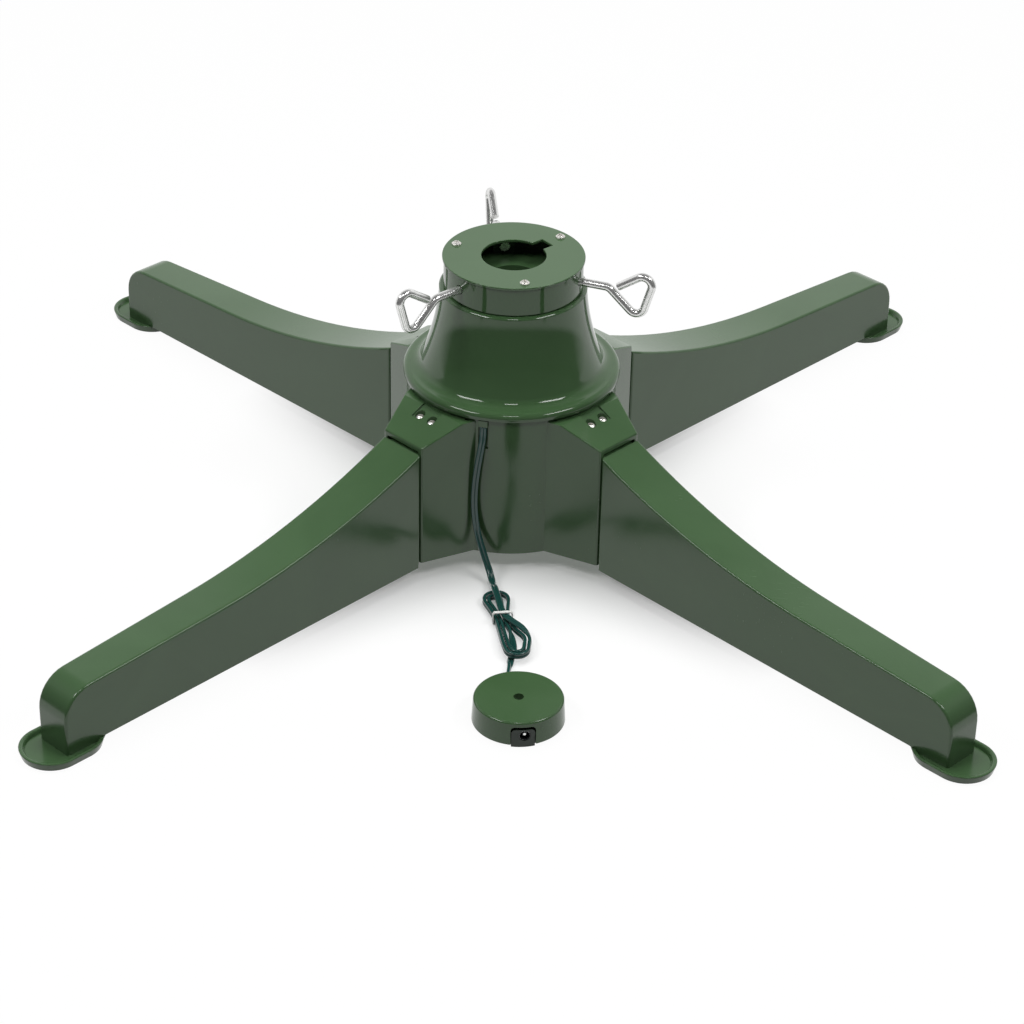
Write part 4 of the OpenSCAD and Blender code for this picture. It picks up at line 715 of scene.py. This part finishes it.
def pad_edge(at, *normals):
    return at.z > PAD_TOP - SLACK


def cap_edge(at, *normals):
    return on_chamfer(at, CAP_TOP, CAP_TOP_R, CAP_CHAMFER, SWITCH)


rounded("hub_housing", "hub_shell", 1.2 * MM, pick=arm_edge)
rounded("bell_cover", "bell_shell", 1.2 * MM, pick=bell_edge)
rounded("collar", "collar_shell", 0.5 * MM, pick=collar_edge)
rounded("top_plate", "collar_plate", 0.45 * MM, pick=plate_edge)
for corner in ("front_left", "front_right", "back_left", "back_right"):
    rounded(f"leg_{corner}", f"leg_shell_{corner}", 1.8 * MM, pick=leg_edge)
    # The rim's top stays in triangles, because one ring-shaped polygon would close over the pad
    rounded(f"foot_pad_{corner}", f"foot_rim_{corner}", 0.9 * MM, pick=pad_edge, merge=False)
relief = rounded("strain_relief", "cord_exit", 0.3 * MM, 2)
paint(relief, "green_plastic", lambda c: from_axis(c) > RELIEF_FACE_R * MM)
cap = rounded("pedal_cap", "switch_cap", 0.8 * MM, pick=cap_edge)
panel = rounded("jack_panel", "jack_plate", 0.3 * MM, 2)
jack = rounded("power_jack", "jack_barrel", 0.25 * MM, 2)
paint(jack, "bright_steel", in_jack)
gland = rounded("switch_gland", "cord_gland", 0.4 * MM, 2)
tie = rounded("hank_tie", "tie_band", 0.3 * MM, 2)

# ---- Floor, light and background ----------------------------------------------------------------

FLOOR_REACH = 14.0
FLOOR_SIDES = 96
FLOOR_DROP = 0.0002
FLOOR_WHITE, FLOOR_GRAIN = 0.93, 0.01
FLOOR_BOUNCE = 0.3
# White is laid over the floor's shadow: a little up to the first distance, almost all beyond the second
SHADOW_NEAR, SHADOW_FAR = 0.09, 0.26
SHADOW_WASH, FAR_WASH = 0.14, 0.96
# In reflections the floor is bright, but dark beyond these distances, save behind the stand
MIRROR_GLOW = 0.95
DARK_NEAR, DARK_FAR = 0.53, 0.6
DARK_BEHIND = 0.25
DARK_SHARE = 0.92


def grey(level):
    return (level, level, level)


def make_floor():
    """A round pale floor that keeps the object's soft shadow and is pure white farther out."""
    mesh = bpy.data.meshes.new("floor")
    angles = [2 * math.pi * i / FLOOR_SIDES for i in range(FLOOR_SIDES)]
    ring = [(FLOOR_REACH * math.cos(a), FLOOR_REACH * math.sin(a), -FLOOR_DROP) for a in angles]
    mesh.from_pydata(ring, [], [tuple(range(FLOOR_SIDES))])
    floor = bpy.data.objects.new("floor", mesh)
    bpy.context.scene.collection.objects.link(floor)
    s = Surface("floor_paper", Roughness=0.8, IOR=1.3)
    path = s.tree.nodes.new("ShaderNodeLightPath")
    seen = s.math("MAXIMUM", path.outputs["Is Camera Ray"], path.outputs["Is Transmission Ray"])
    mirrored = path.outputs["Is Glossy Ray"]
    paper = s.mixed(s.noise(3), grey(FLOOR_WHITE), grey(FLOOR_WHITE - FLOOR_GRAIN))
    s.colour(s.mixed(s.math("MAXIMUM", seen, mirrored), grey(FLOOR_BOUNCE), paper))
    wash = s.remap(s.length(), SHADOW_NEAR, SHADOW_FAR, SHADOW_WASH, FAR_WASH)
    ahead = s.remap(axis_of(s.tree, s.place, "Y"), 0, DARK_BEHIND, 1, 0)
    beyond = s.math("MULTIPLY", ahead, s.remap(s.length(), DARK_NEAR, DARK_FAR, 0, DARK_SHARE))
    glow = s.tree.nodes.new("ShaderNodeEmission")
    s.link(s.mixed(mirrored, grey(1.0), s.mixed(beyond, grey(1.0), grey(0.0))), glow.inputs["Color"])
    lit = s.math("MAXIMUM", s.math("MULTIPLY", seen, wash), s.math("MULTIPLY", mirrored, MIRROR_GLOW))
    shader = s.tree.nodes.new("ShaderNodeMixShader")
    s.link(lit, shader.inputs[0])
    s.link(s.shader.outputs[0], shader.inputs[1])
    s.link(glow.outputs[0], shader.inputs[2])
    s.link(shader.outputs[0], s.tree.nodes["Material Output"].inputs["Surface"])
    mesh.materials.append(s.material)


# Levels of the studio by height, from level to overhead, and by depth, from in front to behind
HEIGHT_STOPS = ((0.0, 1.0), (0.5, 0.95), (0.8, 0.2), (1.0, 0.2))
DEPTH_STOPS = ((0.45, 0.12), (0.7, 1.0))
STUDIO_STRENGTH = 0.95
DIFFUSE_CUT = 0.45


def ramp(tree, value, stops):
    """Grey levels along a value, eased from stop to stop."""
    node = tree.nodes.new("ShaderNodeValToRGB")
    node.color_ramp.interpolation = "EASE"
    elements = node.color_ramp.elements
    while len(elements) < len(stops):
        elements.new(0.5)
    for element, (place, level) in zip(elements, stops):
        element.position = place
        element.color = (*grey(level), 1)
    tree.links.new(value, node.inputs[0])
    return node.outputs[0]


def make_world():
    """A studio: white behind the object up to middle height, dim overhead and in front."""
    world = bpy.data.worlds.new("studio")
    bpy.context.scene.world = world
    world.use_nodes = True
    tree = world.node_tree
    background = tree.nodes["Background"]
    direction = tree.nodes.new("ShaderNodeTexCoord").outputs["Generated"]
    height = ramp(tree, axis_of(tree, direction, "Z"), HEIGHT_STOPS)
    depth = combine(tree, "MULTIPLY_ADD", axis_of(tree, direction, "Y"), 0.5, 0.5)
    level = combine(tree, "MULTIPLY", height, ramp(tree, depth, DEPTH_STOPS))
    diffuse = tree.nodes.new("ShaderNodeLightPath").outputs["Is Diffuse Ray"]
    spread = combine(tree, "MULTIPLY_ADD", diffuse, -DIFFUSE_CUT, 1.0)
    tree.links.new(combine(tree, "MULTIPLY", level, spread), background.inputs["Color"])
    background.inputs["Strength"].default_value = STUDIO_STRENGTH


def make_lamp(name, azimuth, elevation, distance, width, depth, watts, mirrored=True):
    """A softbox that faces the object's middle, from an azimuth and an elevation in degrees."""
    data = bpy.data.lights.new(name, "AREA")
    data.shape = "RECTANGLE"
    data.size = width
    data.size_y = depth
    data.energy = watts
    lamp = bpy.data.objects.new(name, data)
    bpy.context.scene.collection.objects.link(lamp)
    away = outward(math.radians(azimuth), math.radians(elevation))
    lamp.location = away * distance
    lamp.rotation_euler = away.to_track_quat("Z", "Y").to_euler()
    lamp.visible_glossy = mirrored


make_floor()
make_world()
for side, turned in (("left", -60), ("right", 60)):
    make_lamp(f"key_{side}", turned, 50, distance=1.9, width=0.8, depth=0.35, watts=9)
make_lamp("key_front", 0, 58, distance=1.9, width=0.35, depth=0.2, watts=2.5)
make_lamp("overhead", 180, 80, distance=2.0, width=1.5, depth=1.2, watts=29, mirrored=False)
